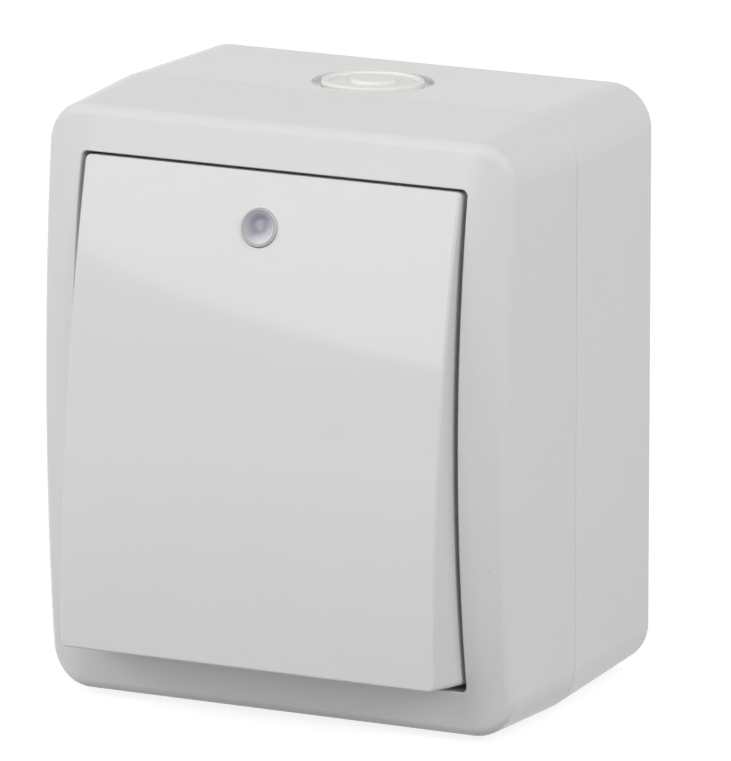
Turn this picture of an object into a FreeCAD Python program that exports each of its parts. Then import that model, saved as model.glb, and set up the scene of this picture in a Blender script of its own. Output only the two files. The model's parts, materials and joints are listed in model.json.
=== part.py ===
import FreeCAD, Part
import math
import os
import re
import Sketcher

# Surface-mounted weatherproof switch with one large tilting key and an indicator lens.
#
# Millimetres. +X is to the right as seen from the front, +Y points into the wall and +Z is up.
# The origin is the centre of the rear face, which lies against the wall. "Depth" in this file
# is the distance in front of the wall, so a point at depth 20 has Y = -20.
#
# The key and what moves with it are drawn about the pivot with the key level, and are then
# tilted to the stored state: top edge in, bottom edge out.

SIZES = {
    # housing
    "housing_width": 66.0,
    "housing_height": 76.75,
    "base_depth": 23.8,
    "cover_rise": 21.45,
    "corner_radius": 6.25,
    "base_draft": 1.86,
    "cover_side_draft": 3.0,
    "cover_end_draft": 2.2,
    "front_curve_radius": 168.0,
    "rail_width": 3.4,
    "rail_drop": 1.95,
    "rail_curve_radius": 254.0,
    "front_edge_radius": 1.6,
    "housing_wall": 2.2,
    "parting_break": 0.2,
    "lip_inset": 1.2,
    "lip_height": 3.0,
    "gasket_height": 1.0,
    # recess for the key, with its floor
    "recess_side_margin": 6.4,
    "recess_end_margin": 6.475,
    "recess_rise": 0.15,
    "recess_corner": 0.8,
    "recess_wall": 1.8,
    "recess_edge": 0.15,
    "recess_depth": 12.65,
    "floor_wall": 1.8,
    # key
    "pivot_sink": 5.45,
    "half_tilt": 7.0,
    "key_end_gap": 0.85,
    "key_side_gap": 0.5,
    "key_rise": 6.6,
    "key_skirt_lift": 4.7,
    "key_curve_radius": 232.0,
    "key_side_draft": 1.8,
    "key_end_draft": 0.6,
    "key_corner": 0.7,
    "key_edge": 0.3,
    "key_wall": 1.8,
    "key_rib": 1.6,
    "key_hook": 1.4,
    # indicator
    "indicator_offset": -0.9,
    "indicator_share": 0.784,
    "lens_radius": 2.45,
    "lens_lip": 0.12,
    "lens_dish_radius": 2.1,
    "lens_dish_depth": 0.7,
    "lens_bump_radius": 0.55,
    "lens_flange": 0.8,
    "lens_stem_radius": 1.6,
    "lens_stem_length": 1.6,
    "lamp_radius": 2.5,
    "lamp_gap": 2.0,
    "lamp_nose": 2.0,
    "lamp_pin_radius": 0.3,
    "lamp_pin_pitch": 2.5,
    "lamp_holder_wall": 1.0,
    "lamp_holder_height": 4.5,
    "lamp_board_width": 11.0,
    "lamp_board_height": 8.0,
    "lamp_board_thickness": 1.4,
    "resistor_radius": 1.1,
    "resistor_length": 6.4,
    # switching insert
    "insert_share": 0.52,
    "insert_thickness": 16.8,
    "insert_corner": 1.5,
    "yoke_thickness": 1.2,
    "yoke_end": 3.8,
    "yoke_wing": 12.0,
    "yoke_rim": 1.0,
    "cap_thickness": 1.8,
    "cap_headroom": 6.7,
    "seal_height": 1.5,
    "seal_width": 2.0,
    "window_margin": 0.8,
    "ear_gap": 9.4,
    "ear_thickness": 2.2,
    "ear_half_width": 4.2,
    "ear_cheek": 2.4,
    "ear_round": 2.0,
    # cradle, plunger and spring
    "trunnion_radius": 1.6,
    "running_clearance": 0.05,
    "seat_clearance": 0.05,
    "cradle_half_width": 8.6,
    "cradle_half_height": 12.0,
    "cradle_plate": 2.0,
    "cradle_front": 4.4,
    "stem_half": 3.6,
    "stem_gap": 1.5,
    "bore_bottom": 1.0,
    "plunger_radius": 2.0,
    "plunger_length": 8.0,
    "plunger_wall": 0.6,
    "plunger_nose": 1.4,
    "plunger_travel": 0.3,
    "spring_wire": 0.18,
    "spring_turns": 5.0,
    # contacts
    "contact_tilt": 6.0,
    "lever_thickness": 0.8,
    "lever_proud": 1.45,
    "lever_half_width": 4.0,
    "lever_overhang": 2.0,
    "contact_height": 9.0,
    "rivet_radius": 1.5,
    "rivet_height": 0.7,
    "contact_clearance": 0.12,
    "strip_thickness": 1.0,
    "strip_width": 4.0,
    "cavity_depth": 4.8,
    "cavity_half_width": 4.8,
    "fulcrum_half": 1.4,
    "fulcrum_tip": 0.3,
    "fulcrum_shelf": 3.3,
    "rivet_shank": 0.8,
    # terminals
    "clamp_margin": 5.2,
    "clamp_size": 6.4,
    "clamp_wall": 1.0,
    "clamp_window": 3.0,
    "clamp_nut": 1.8,
    "clamp_fit": 0.1,
    "wire_hole_radius": 1.5,
    "terminal_screw_radius": 1.5,
    "terminal_head_radius": 2.7,
    "terminal_head_height": 1.9,
    # screws and posts
    "screw_radius": 1.7,
    "screw_fit": 0.05,
    "screw_head_radius": 2.8,
    "screw_head_height": 2.0,
    "screw_slot": 0.8,
    "screw_slot_depth": 0.9,
    "screw_length": 11.0,
    "post_radius": 3.0,
    "post_gap": 0.5,
    "cover_post_margin": 7.4,
    # wall fixing and cable entries
    "fixing_margin": 10.875,
    "fixing_radius": 2.3,
    "fixing_collar": 4.6,
    "fixing_collar_height": 2.0,
    "entry_offset": 0.5,
    "entry_behind_joint": 9.0,
    "entry_fit": 0.12,
    "grommet_seat": 7.75,
    "grommet_seat_depth": 0.5,
    "grommet_lip": 6.5,
    "grommet_lip_width": 0.9,
    "grommet_lip_height": 0.3,
    "grommet_lip_round": 0.25,
    "grommet_neck": 5.9,
    "grommet_flange": 7.6,
    "grommet_flange_height": 1.2,
    "grommet_membrane": 0.8,
    "grommet_dome_radius": 2.85,
    "grommet_dome_height": 0.45,
    "knockout_radius": 8.0,
    "knockout_groove": 0.7,
    "knockout_depth": 1.1,
    # allowance by which a cutting shape runs past what it cuts
    "overrun": 1.0,
}

# What the driving sizes give, worked out once and named.
WORKED = {
    "half_width": "housing_width / 2",
    "half_height": "housing_height / 2",
    "cover_depth": "base_depth + cover_rise",
    "floor_depth": "cover_depth - recess_depth",
    "pivot_depth": "cover_depth - pivot_sink",
    "rear_half_width": "half_width - base_depth * tan(base_draft)",
    "rear_half_height": "half_height - base_depth * tan(base_draft)",
    "rear_corner": "corner_radius - base_depth * tan(base_draft)",
    "blank_depth": "cover_depth + overrun",
    "blank_half_width": "half_width - (blank_depth - base_depth) * tan(cover_side_draft)",
    "blank_half_height": "half_height - (blank_depth - base_depth) * tan(cover_end_draft)",
    "blank_corner": "corner_radius - (blank_depth - base_depth) * tan(cover_side_draft)",
    "recess_half_width": "half_width - recess_side_margin",
    "recess_half_height": "half_height - recess_end_margin",
    "recess_front": "cover_depth - front_curve_radius"
                    " + sqrt(front_curve_radius ^ 2 - (recess_half_height + recess_wall) ^ 2)",
    "rim_reach": "half_width + overrun - recess_half_width",
    "rim_drop": "rail_drop * rim_reach / rail_width - rail_drop / 4",
    "rim_bend": "1 / front_curve_radius + (1 / rail_curve_radius - 1 / front_curve_radius)"
                " * rim_reach / rail_width",
    "tray_front": "cover_depth - 2 * housing_wall / 3",
    "floor_back": "floor_depth - floor_wall",
    "lip_depth": "base_depth + lip_height",
    "gasket_front": "lip_depth + gasket_height",
    "lip_outer_inset": "lip_inset + seat_clearance",
    "base_inner_half_width": "half_width - housing_wall",
    "base_inner_half_height": "half_height - housing_wall",
    "base_inner_corner": "corner_radius - housing_wall",
    "rear_inner_half_width": "rear_half_width - housing_wall + housing_wall * tan(base_draft)",
    "rear_inner_half_height": "rear_half_height - housing_wall + housing_wall * tan(base_draft)",
    "rear_inner_corner": "rear_corner - housing_wall + housing_wall * tan(base_draft)",
    "key_half_length": "recess_half_height - key_end_gap",
    "key_half_width": "recess_half_width - key_side_gap",
    "key_skirt": "pivot_depth - floor_depth - key_skirt_lift",
    "key_sagitta": "key_curve_radius - sqrt(key_curve_radius ^ 2 - key_half_length ^ 2)",
    "key_apex": "key_rise + key_sagitta",
    "key_blank": "key_apex + overrun",
    "key_rear_half_length": "key_half_length + (key_rise + key_skirt) * tan(key_end_draft)",
    "key_front_half_length": "key_half_length - (key_blank - key_rise) * tan(key_end_draft)",
    "key_front_half_width": "key_half_width - (key_blank + key_skirt) * tan(key_side_draft)",
    "indicator_rise": "key_half_length * indicator_share",
    "indicator_tilt": "asin(indicator_rise / key_curve_radius)",
    "indicator_reach": "key_apex - key_curve_radius"
                       " + sqrt(key_curve_radius ^ 2 - indicator_rise ^ 2)",
    "dish_sphere": "(lens_dish_radius ^ 2 + lens_dish_depth ^ 2) / (2 * lens_dish_depth)",
    "insert_half_width": "half_width * insert_share",
    "insert_half_height": "half_height * insert_share",
    "cap_front": "floor_back - seal_height",
    "cap_back": "cap_front - cap_thickness",
    "insert_front": "cap_back - yoke_thickness",
    "insert_back": "insert_front - insert_thickness",
    "cap_top": "indicator_rise + cap_headroom",
    "window_half_width": "insert_half_width - seal_width - window_margin",
    "window_bottom": "-(insert_half_height - seal_width - 4 * window_margin)",
    "window_top": "cap_top - seal_width - window_margin / 2",
    "seal_outer_half_width": "window_half_width + seal_width",
    "seal_bottom": "window_bottom - seal_width",
    "seal_top": "window_top + seal_width",
    "ear_outer": "ear_gap + ear_thickness",
    "ear_reach": "pivot_depth + ear_cheek",
    "trunnion_bore": "trunnion_radius + running_clearance",
    "stem_reach": "pivot_depth - cap_front - stem_gap",
    "lever_front": "insert_front + lever_proud",
    "plunger_reach": "pivot_depth - lever_front - seat_clearance",
    "plunger_bore": "plunger_radius + running_clearance",
    "spring_radius": "plunger_radius - plunger_wall - running_clearance - spring_wire",
    "plunger_floor": "plunger_reach - plunger_nose",
    "lever_half_length": "contact_height + lever_overhang",
    "cavity_half_height": "lever_half_length + 2 * window_margin",
    "lever_back": "lever_front - lever_thickness",
    "fulcrum_depth": "lever_back - seat_clearance",
    "strip_depth": "insert_front - cavity_depth",
    "strip_front": "strip_depth + strip_thickness",
    "fixed_rivet_front": "lever_back - rivet_height - contact_height * sin(contact_tilt)"
                         " - rivet_radius * sin(contact_tilt) - contact_clearance",
    "fixed_strip_front": "fixed_rivet_front - rivet_height",
    "fixed_strip_back": "fixed_strip_front - strip_thickness",
    "stop_depth": "lever_back - lever_half_length * sin(contact_tilt) - contact_clearance",
    "clamp_half": "clamp_size / 2",
    "clamp_offset": "insert_half_width - clamp_margin",
    "clamp_back": "strip_depth - clamp_wall",
    "clamp_window_front": "strip_depth + clamp_window",
    "clamp_front": "clamp_window_front + clamp_nut",
    "clamp_pocket": "clamp_half + clamp_fit",
    "screw_hole": "screw_radius + screw_fit",
    "yoke_post_offset": "(insert_half_width + base_inner_half_width) / 2",
    "yoke_reach": "yoke_post_offset + yoke_end",
    "cover_post_across": "insert_half_width + post_radius + post_gap",
    "cover_post_up": "recess_half_height - cover_post_margin",
    "fixing_half": "half_height - fixing_margin",
    "entry_depth": "base_depth - entry_behind_joint",
    "entry_half_height": "half_height - (base_depth - entry_depth) * tan(base_draft)",
    "entry_hole": "grommet_neck + entry_fit",
    "lamp_bore": "lamp_radius + seat_clearance",
    "lamp_holder_radius": "lamp_bore + lamp_holder_wall",
    "lamp_height": "indicator_rise",
    "lamp_length": "pivot_depth - lamp_gap - cap_front - lamp_holder_wall",
}

doc = FreeCAD.newDocument("WeatherproofSwitch")
PIECES = []


def make_sheet(name, rows, prefix=""):
    """Make a sheet with one named cell for each row."""
    sheet = doc.addObject("Spreadsheet::Sheet", name)
    for row, (alias, content) in enumerate(rows.items(), start=1):
        sheet.set(f"A{row}", alias)
        sheet.set(f"B{row}", f"{prefix}{content}")
        sheet.setAlias(f"B{row}", alias)
    return sheet


def bound(expression, own_sheet=""):
    """Give an expression in which each size's name also names its sheet."""
    def with_sheet(match):
        word = match.group(0)
        if word in SIZES:
            return f"Sizes.{word}"
        if word in WORKED and own_sheet != "Worked":
            return f"Worked.{word}"
        return word
    return re.sub(r"[a-z_]+", with_sheet, str(expression))


sizes = make_sheet("Sizes", SIZES)
worked = make_sheet("Worked", {name: bound(text, "Worked") for name, text in WORKED.items()}, "=")
doc.recompute()


def value(expression):
    """Give the number that an expression of named sizes comes to."""
    result = sizes.evalExpression(bound(expression))
    return float(getattr(result, "Value", result))


def new_body(label):
    """Start a piece."""
    body = doc.addObject("PartDesign::Body", label)
    body.Label = label
    body.AllowCompound = True
    PIECES.append(body)
    return body


def new_sketch(body, name, plane, offset="0"):
    """Start a sketch on one of the body's own planes, moved along that plane's normal."""
    sketch = body.newObject("Sketcher::SketchObject", f"{body.Label}_{name}")
    support = [feature for feature in body.Origin.OriginFeatures if feature.Role == plane][0]
    sketch.AttachmentSupport = [(support, "")]
    sketch.MapMode = "FlatFace"
    sketch.setExpression("AttachmentOffset.Base.z", bound(offset))
    return sketch


def pin(sketch, kind, geometry, point, expression):
    """Fix a point's distance from the sketch's origin along one direction."""
    index = sketch.addConstraint(
        Sketcher.Constraint(kind, -1, 1, geometry, point, value(expression)))
    sketch.setExpression(f"Constraints[{index}]", bound(expression))


def pin_point(sketch, geometry, point, across, up):
    """Fix a point at its place in the sketch."""
    pin(sketch, "DistanceX", geometry, point, across)
    pin(sketch, "DistanceY", geometry, point, up)


def set_radius(sketch, geometry, expression):
    """Fix the radius of a circle or an arc."""
    index = sketch.addConstraint(Sketcher.Constraint("Radius", geometry, value(expression)))
    sketch.setExpression(f"Constraints[{index}]", bound(expression))


def draw_circle(sketch, radius, across="0", up="0"):
    """Draw a circle."""
    centre = FreeCAD.Vector(value(across), value(up), 0)
    circle = sketch.addGeometry(Part.Circle(centre, FreeCAD.Vector(0, 0, 1), value(radius)))
    pin_point(sketch, circle, 3, across, up)
    set_radius(sketch, circle, radius)


def draw_outline(sketch, points):
    """Draw a closed outline of straight lines through the given points."""
    places = [FreeCAD.Vector(value(across), value(up), 0) for across, up in points]
    following = places[1:] + places[:1]
    lines = [sketch.addGeometry(Part.LineSegment(a, b)) for a, b in zip(places, following)]
    for line, (across, up) in zip(lines, points):
        pin_point(sketch, line, 1, across, up)
    for line, after in zip(lines, lines[1:] + lines[:1]):
        sketch.addConstraint(Sketcher.Constraint("Coincident", line, 2, after, 1))


def draw_rectangle(sketch, left, right, bottom, top, corner=None):
    """Draw a rectangle between four sides, with rounded corners where a radius is given."""
    if corner is None:
        draw_outline(sketch, [(left, bottom), (right, bottom), (right, top), (left, top)])
        return
    x_low, x_high, z_low, z_high = value(left), value(right), value(bottom), value(top)
    radius = value(corner)
    centres = [(x_high - radius, z_low + radius), (x_high - radius, z_high - radius),
               (x_low + radius, z_high - radius), (x_low + radius, z_low + radius)]
    arcs = []
    for quarter, (across, up) in enumerate(centres):
        circle = Part.Circle(FreeCAD.Vector(across, up, 0), FreeCAD.Vector(0, 0, 1), radius)
        start = (quarter - 1) * math.pi / 2
        arcs.append(sketch.addGeometry(Part.ArcOfCircle(circle, start, start + math.pi / 2)))
    lines = []
    for arc, after in zip(arcs, arcs[1:] + arcs[:1]):
        start = sketch.Geometry[arc].EndPoint
        end = sketch.Geometry[after].StartPoint
        line = sketch.addGeometry(Part.LineSegment(start, end))
        sketch.addConstraint(Sketcher.Constraint("Tangent", arc, 2, line, 1))
        sketch.addConstraint(Sketcher.Constraint("Tangent", line, 2, after, 1))
        lines.append(line)
    right_line, top_line, left_line, bottom_line = lines
    for line in (right_line, left_line):
        sketch.addConstraint(Sketcher.Constraint("Vertical", line))
    for line in (top_line, bottom_line):
        sketch.addConstraint(Sketcher.Constraint("Horizontal", line))
    for arc in arcs[1:]:
        sketch.addConstraint(Sketcher.Constraint("Equal", arcs[0], arc))
    set_radius(sketch, arcs[0], corner)
    pin(sketch, "DistanceX", right_line, 1, right)
    pin(sketch, "DistanceX", left_line, 1, left)
    pin(sketch, "DistanceY", top_line, 1, top)
    pin(sketch, "DistanceY", bottom_line, 1, bottom)


def draw_centred(sketch, half_width, half_height, corner=None, rise="0"):
    """Draw a rectangle about the sketch's origin, raised by a given amount."""
    draw_rectangle(sketch, f"-({half_width})", half_width,
                   f"{rise} - ({half_height})", f"{rise} + ({half_height})", corner)


def feature(body, kind, name, **properties):
    """Add a feature to a body, with its number properties bound to their expressions."""
    added = body.newObject(f"PartDesign::{kind}", f"{body.Label}_{name}")
    for key, content in properties.items():
        if isinstance(content, str) and key in ("Length", "Length2", "TaperAngle", "Radius", "Size",
                                                "Value", "Angle", "Radius1", "Radius2", "Height"):
            added.setExpression(key, bound(content))
        else:
            setattr(added, key, content)
    body.Tip = added
    return added


def add_slab(body, name, draw, back, front):
    """Add material between two depths, in the outline that draw puts into the sketch."""
    sketch = new_sketch(body, f"{name}_outline", "XZ_Plane", back)
    draw(sketch)
    return feature(body, "Pad", name, Profile=sketch, Length=f"({front}) - ({back})")


def cut_slab(body, name, draw, back, front):
    """Cut material away between two depths, in the outline that draw puts into the sketch."""
    sketch = new_sketch(body, f"{name}_outline", "XZ_Plane", front)
    draw(sketch)
    return feature(body, "Pocket", name, Profile=sketch, Length=f"({front}) - ({back})")


def add_across(body, name, draw, width, offset="0"):
    """Add material that runs along X, centred on the offset, from a side-on outline."""
    sketch = new_sketch(body, f"{name}_outline", "YZ_Plane", offset)
    draw(sketch)
    return feature(body, "Pad", name, Profile=sketch, Length=width, Midplane=True)


def cut_across(body, name, draw, width, offset="0"):
    """Cut material away along X, centred on the offset, from a side-on outline."""
    sketch = new_sketch(body, f"{name}_outline", "YZ_Plane", offset)
    draw(sketch)
    return feature(body, "Pocket", name, Profile=sketch, Length=width, Midplane=True)


def loft(body, name, kind, draw_back, back, draw_front, front):
    """Join an outline at one depth to an outline at another with straight sides."""
    first = new_sketch(body, f"{name}_back", "XZ_Plane", back)
    draw_back(first)
    second = new_sketch(body, f"{name}_front", "XZ_Plane", front)
    draw_front(second)
    doc.recompute()
    return feature(body, kind, name, Profile=first, Sections=[second], Ruled=True)


def edges_where(shape, test):
    """Name the edges whose both ends and middle pass a test."""
    names = []
    for index, edge in enumerate(shape.Edges, start=1):
        middle = edge.valueAt((edge.FirstParameter + edge.LastParameter) / 2)
        points = [vertex.Point for vertex in edge.Vertexes] + [middle]
        if all(test(point) for point in points):
            names.append(f"Edge{index}")
    return names


def faces_where(shape, test):
    """Name the faces whose centre of mass passes a test."""
    return [f"Face{index}" for index, face in enumerate(shape.Faces, start=1)
            if test(face.CenterOfMass, face)]


def round_edges(body, name, radius, test):
    """Round the edges of the body so far that pass a test."""
    doc.recompute()
    base = body.Tip
    return feature(body, "Fillet", name, Base=(base, edges_where(base.Shape, test)), Radius=radius)


def front_curve(apex, radius, reach, limit):
    """Give a side-on drawing of what lies between a curved face and a limit in depth."""
    def draw(sketch):
        half = value(reach)
        curve = value(radius)
        centre = FreeCAD.Vector(curve - value(apex), 0, 0)
        swing = math.asin(half / curve)
        circle = Part.Circle(centre, FreeCAD.Vector(0, 0, 1), curve)
        arc = sketch.addGeometry(Part.ArcOfCircle(circle, math.pi - swing, math.pi + swing))
        sketch.addConstraint(Sketcher.Constraint("PointOnObject", arc, 3, -1))
        pin(sketch, "DistanceX", arc, 3, f"({radius}) - ({apex})")
        set_radius(sketch, arc, radius)
        pin(sketch, "DistanceY", arc, 1, reach)
        pin(sketch, "DistanceY", arc, 2, f"-({reach})")
        top, bottom = sketch.Geometry[arc].StartPoint, sketch.Geometry[arc].EndPoint
        if top.y < bottom.y:
            top, bottom = bottom, top
        end = -value(limit)
        corners = [bottom, FreeCAD.Vector(end, bottom.y, 0), FreeCAD.Vector(end, top.y, 0), top]
        lines = [sketch.addGeometry(Part.LineSegment(a, b)) for a, b in zip(corners, corners[1:])]
        sketch.addConstraint(Sketcher.Constraint("Coincident", lines[0], 1, arc, 2))
        sketch.addConstraint(Sketcher.Constraint("Coincident", lines[0], 2, lines[1], 1))
        sketch.addConstraint(Sketcher.Constraint("Coincident", lines[1], 2, lines[2], 1))
        sketch.addConstraint(Sketcher.Constraint("Coincident", lines[2], 2, arc, 1))
        sketch.addConstraint(Sketcher.Constraint("Horizontal", lines[0]))
        sketch.addConstraint(Sketcher.Constraint("Vertical", lines[1]))
        sketch.addConstraint(Sketcher.Constraint("Horizontal", lines[2]))
        pin(sketch, "DistanceX", lines[1], 1, f"-({limit})")
    return draw


def circles(radius, places):
    """Give a drawing of equal circles."""
    def draw(sketch):
        for across, up in places:
            draw_circle(sketch, radius, across, up)
    return draw


def rectangle(left, right, bottom, top, corner=None):
    """Give a drawing of a rectangle between four sides."""
    return lambda sketch: draw_rectangle(sketch, left, right, bottom, top, corner)


def centred(half_width, half_height, corner=None, rise="0"):
    """Give a drawing of a rectangle about the origin."""
    return lambda sketch: draw_centred(sketch, half_width, half_height, corner, rise)


def ring(outer, inner):
    """Give a drawing of one outline inside another."""
    def draw(sketch):
        outer(sketch)
        inner(sketch)
    return draw


def outline(points):
    """Give a drawing of straight lines through points."""
    return lambda sketch: draw_outline(sketch, points)


def side_outline(points):
    """Give a side-on drawing through points given as depth and height."""
    return outline([(f"-({depth})", up) for depth, up in points])


YOKE_POSTS = [("yoke_post_offset", "0"), ("-yoke_post_offset", "0")]
COVER_POSTS = [("cover_post_across", "cover_post_up"), ("-cover_post_across", "-cover_post_up")]
FIXINGS = [("0", "fixing_half"), ("0", "-fixing_half")]


def make_base_box():
    """The rear housing: drafted walls, screw posts, fixing holes, cable entries and a tongue."""
    body = new_body("base_box")
    loft(body, "shell", "AdditiveLoft",
         centred("rear_half_width", "rear_half_height", "rear_corner"), "0",
         centred("half_width", "half_height", "corner_radius"), "base_depth")
    loft(body, "inside", "SubtractiveLoft",
         centred("rear_inner_half_width", "rear_inner_half_height", "rear_inner_corner"),
         "housing_wall",
         centred("base_inner_half_width", "base_inner_half_height", "base_inner_corner"),
         "base_depth")
    add_slab(body, "tongue",
             ring(centred("half_width - lip_outer_inset", "half_height - lip_outer_inset",
                          "corner_radius - lip_outer_inset"),
                  centred("base_inner_half_width", "base_inner_half_height", "base_inner_corner")),
             "base_depth", "lip_depth")
    add_slab(body, "yoke_posts", circles("post_radius", YOKE_POSTS), "housing_wall", "insert_front")
    add_slab(body, "cover_posts", circles("post_radius", COVER_POSTS), "housing_wall", "floor_back")
    add_slab(body, "fixing_collars", circles("fixing_collar", FIXINGS),
             "housing_wall", "housing_wall + fixing_collar_height")
    cut_slab(body, "yoke_pilots", circles("screw_hole", YOKE_POSTS),
             "insert_front - screw_length", "insert_front")
    cut_slab(body, "cover_pilots", circles("screw_hole", COVER_POSTS),
             "floor_depth - screw_length - overrun", "floor_back")
    cut_slab(body, "fixing_holes", circles("fixing_radius", FIXINGS),
             "0", "housing_wall + fixing_collar_height")
    entry = new_sketch(body, "entry_outline", "XY_Plane", "half_height + overrun")
    draw_circle(entry, "entry_hole", "entry_offset", "-entry_depth")
    feature(body, "Pocket", "entry", Profile=entry, Length="2 * housing_wall + overrun")
    seat = feature(body, "SubtractiveCylinder", "entry_seat", Radius="grommet_seat",
                   Height="grommet_seat_depth + overrun")
    seat.setExpression("Placement", bound(
        "placement(vector(entry_offset; -entry_depth; entry_half_height - grommet_seat_depth);"
        " rotation(vector(1; 0; 0); -base_draft))"))
    groove = new_sketch(body, "knockout_outline", "XY_Plane", "-(half_height + overrun)")
    draw_circle(groove, "knockout_radius", "entry_offset", "-entry_depth")
    draw_circle(groove, "knockout_radius - knockout_groove", "entry_offset", "-entry_depth")
    feature(body, "Pocket", "knockout", Profile=groove, Reversed=True,
            Length="half_height + overrun - entry_half_height + knockout_depth")
    parting = value("base_depth")
    outer = value("half_width - lip_inset / 2")
    outer_up = value("half_height - lip_inset / 2")
    corner = value("corner_radius")

    def on_parting_rim(point):
        on_side = abs(point.x) > outer
        on_end = abs(point.z) > outer_up
        reach = math.hypot(max(abs(point.x) - value("half_width") + corner, 0),
                           max(abs(point.z) - value("half_height") + corner, 0))
        on_corner = reach > corner - value("lip_inset") / 2
        return abs(point.y + parting) < 1e-3 and (on_side or on_end or on_corner)

    round_edges(body, "parting_edge", "parting_break", on_parting_rim)
    return body


def make_front_cover():
    """The front frame: curved face with rounded edges, tray for the key and rebate for the seal."""
    body = new_body("front_cover")
    loft(body, "blank", "AdditiveLoft",
         centred("half_width", "half_height", "corner_radius"), "base_depth",
         centred("blank_half_width", "blank_half_height", "blank_corner"), "blank_depth")
    flat = ["recess_half_width - rail_width / 2", "recess_half_width - rail_width",
            "recess_half_width / 3"]
    right = [("half_width + overrun", "cover_depth - rim_drop", "1 / rim_bend"),
             ("recess_half_width + rail_width", "cover_depth - rail_drop", "rail_curve_radius"),
             ("recess_half_width + rail_width / 2", "cover_depth - rail_drop / 2",
              "(front_curve_radius + rail_curve_radius) / 2")]
    right += [(place, "cover_depth", "front_curve_radius") for place in flat]
    left = [(f"-({place})", apex, radius) for place, apex, radius in right]
    curves = []
    for place, apex, radius in left + right[::-1]:
        curve = new_sketch(body, f"face_curve_{len(curves) + 1}", "YZ_Plane", place)
        front_curve(apex, radius, "half_height + overrun", "blank_depth + overrun")(curve)
        curves.append(curve)
    doc.recompute()
    feature(body, "SubtractiveLoft", "face", Profile=curves[0], Sections=curves[1:], Ruled=False)
    front_low = value("base_depth + cover_rise / 2")
    round_edges(body, "front_edge", "front_edge_radius", lambda point: -point.y > front_low)
    doc.recompute()
    solid = body.Tip
    rear = faces_where(solid.Shape, lambda centre, face: abs(centre.y + value("base_depth")) < 1e-3)
    feature(body, "Thickness", "hollow", Base=(solid, rear), Value="housing_wall", Reversed=True,
            Join="Arc")
    add_across(body, "tray", front_curve("tray_front", "front_curve_radius",
                                         "recess_half_height + recess_wall", "floor_back"),
               "2 * (recess_half_width + recess_wall)")
    cut_slab(body, "recess",
             centred("recess_half_width", "recess_half_height", "recess_corner", "recess_rise"),
             "floor_depth", "blank_depth")
    cut_slab(body, "window", rectangle("-window_half_width", "window_half_width",
                                       "window_bottom", "window_top", "insert_corner"),
             "floor_back", "floor_depth")
    cut_slab(body, "screw_holes", circles("screw_hole", COVER_POSTS), "floor_back", "floor_depth")
    cut_slab(body, "rebate",
             centred("half_width - lip_inset", "half_height - lip_inset",
                     "corner_radius - lip_inset"),
             "base_depth", "gasket_front")
    half_width, half_height = value("recess_half_width"), value("recess_half_height")

    def on_recess_mouth(point):
        inside = abs(point.x) < half_width + 1e-3
        inside = inside and abs(point.z - value("recess_rise")) < half_height + 1e-3
        return inside and -point.y > value("recess_front - overrun")

    round_edges(body, "recess_edge", "recess_edge", on_recess_mouth)
    outer = value("half_width - lip_inset / 2")
    outer_up = value("half_height - lip_inset / 2")
    corner = value("corner_radius")

    def on_parting_rim(point):
        reach = math.hypot(max(abs(point.x) - value("half_width") + corner, 0),
                           max(abs(point.z) - value("half_height") + corner, 0))
        outside = abs(point.x) > outer or abs(point.z) > outer_up
        outside = outside or reach > corner - value("lip_inset") / 2
        return abs(point.y + value("base_depth")) < 1e-3 and outside

    round_edges(body, "parting_edge", "parting_break", on_parting_rim)
    return body


def make_gasket():
    """The seal in the cover's rebate, pressed by the tongue of the base."""
    body = new_body("cover_gasket")
    outer = "lip_inset + seat_clearance"
    inner = "housing_wall - seat_clearance"
    add_slab(body, "ring",
             ring(centred(f"half_width - ({outer})", f"half_height - ({outer})",
                          f"corner_radius - ({outer})"),
                  centred(f"half_width - ({inner})", f"half_height - ({inner})",
                          f"corner_radius - ({inner})")),
             "lip_depth", "gasket_front")
    return body


def make_screws(label, places, seat, head_radius, head_height, radius, length):
    """A group of equal slotted screws whose heads sit at one depth."""
    body = new_body(label)
    back = f"({seat}) - ({length})"
    add_slab(body, "shanks", circles(radius, places), back, seat)
    add_slab(body, "heads", circles(head_radius, places), seat, f"({seat}) + ({head_height})")

    def slots(sketch):
        for across, up in places:
            draw_rectangle(sketch, f"({across}) - ({head_radius}) - overrun",
                           f"({across}) + ({head_radius}) + overrun",
                           f"({up}) - screw_slot / 2", f"({up}) + screw_slot / 2")

    cut_slab(body, "slots", slots, f"({seat}) + ({head_height}) - screw_slot_depth",
             f"({seat}) + ({head_height})")
    return body


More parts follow.
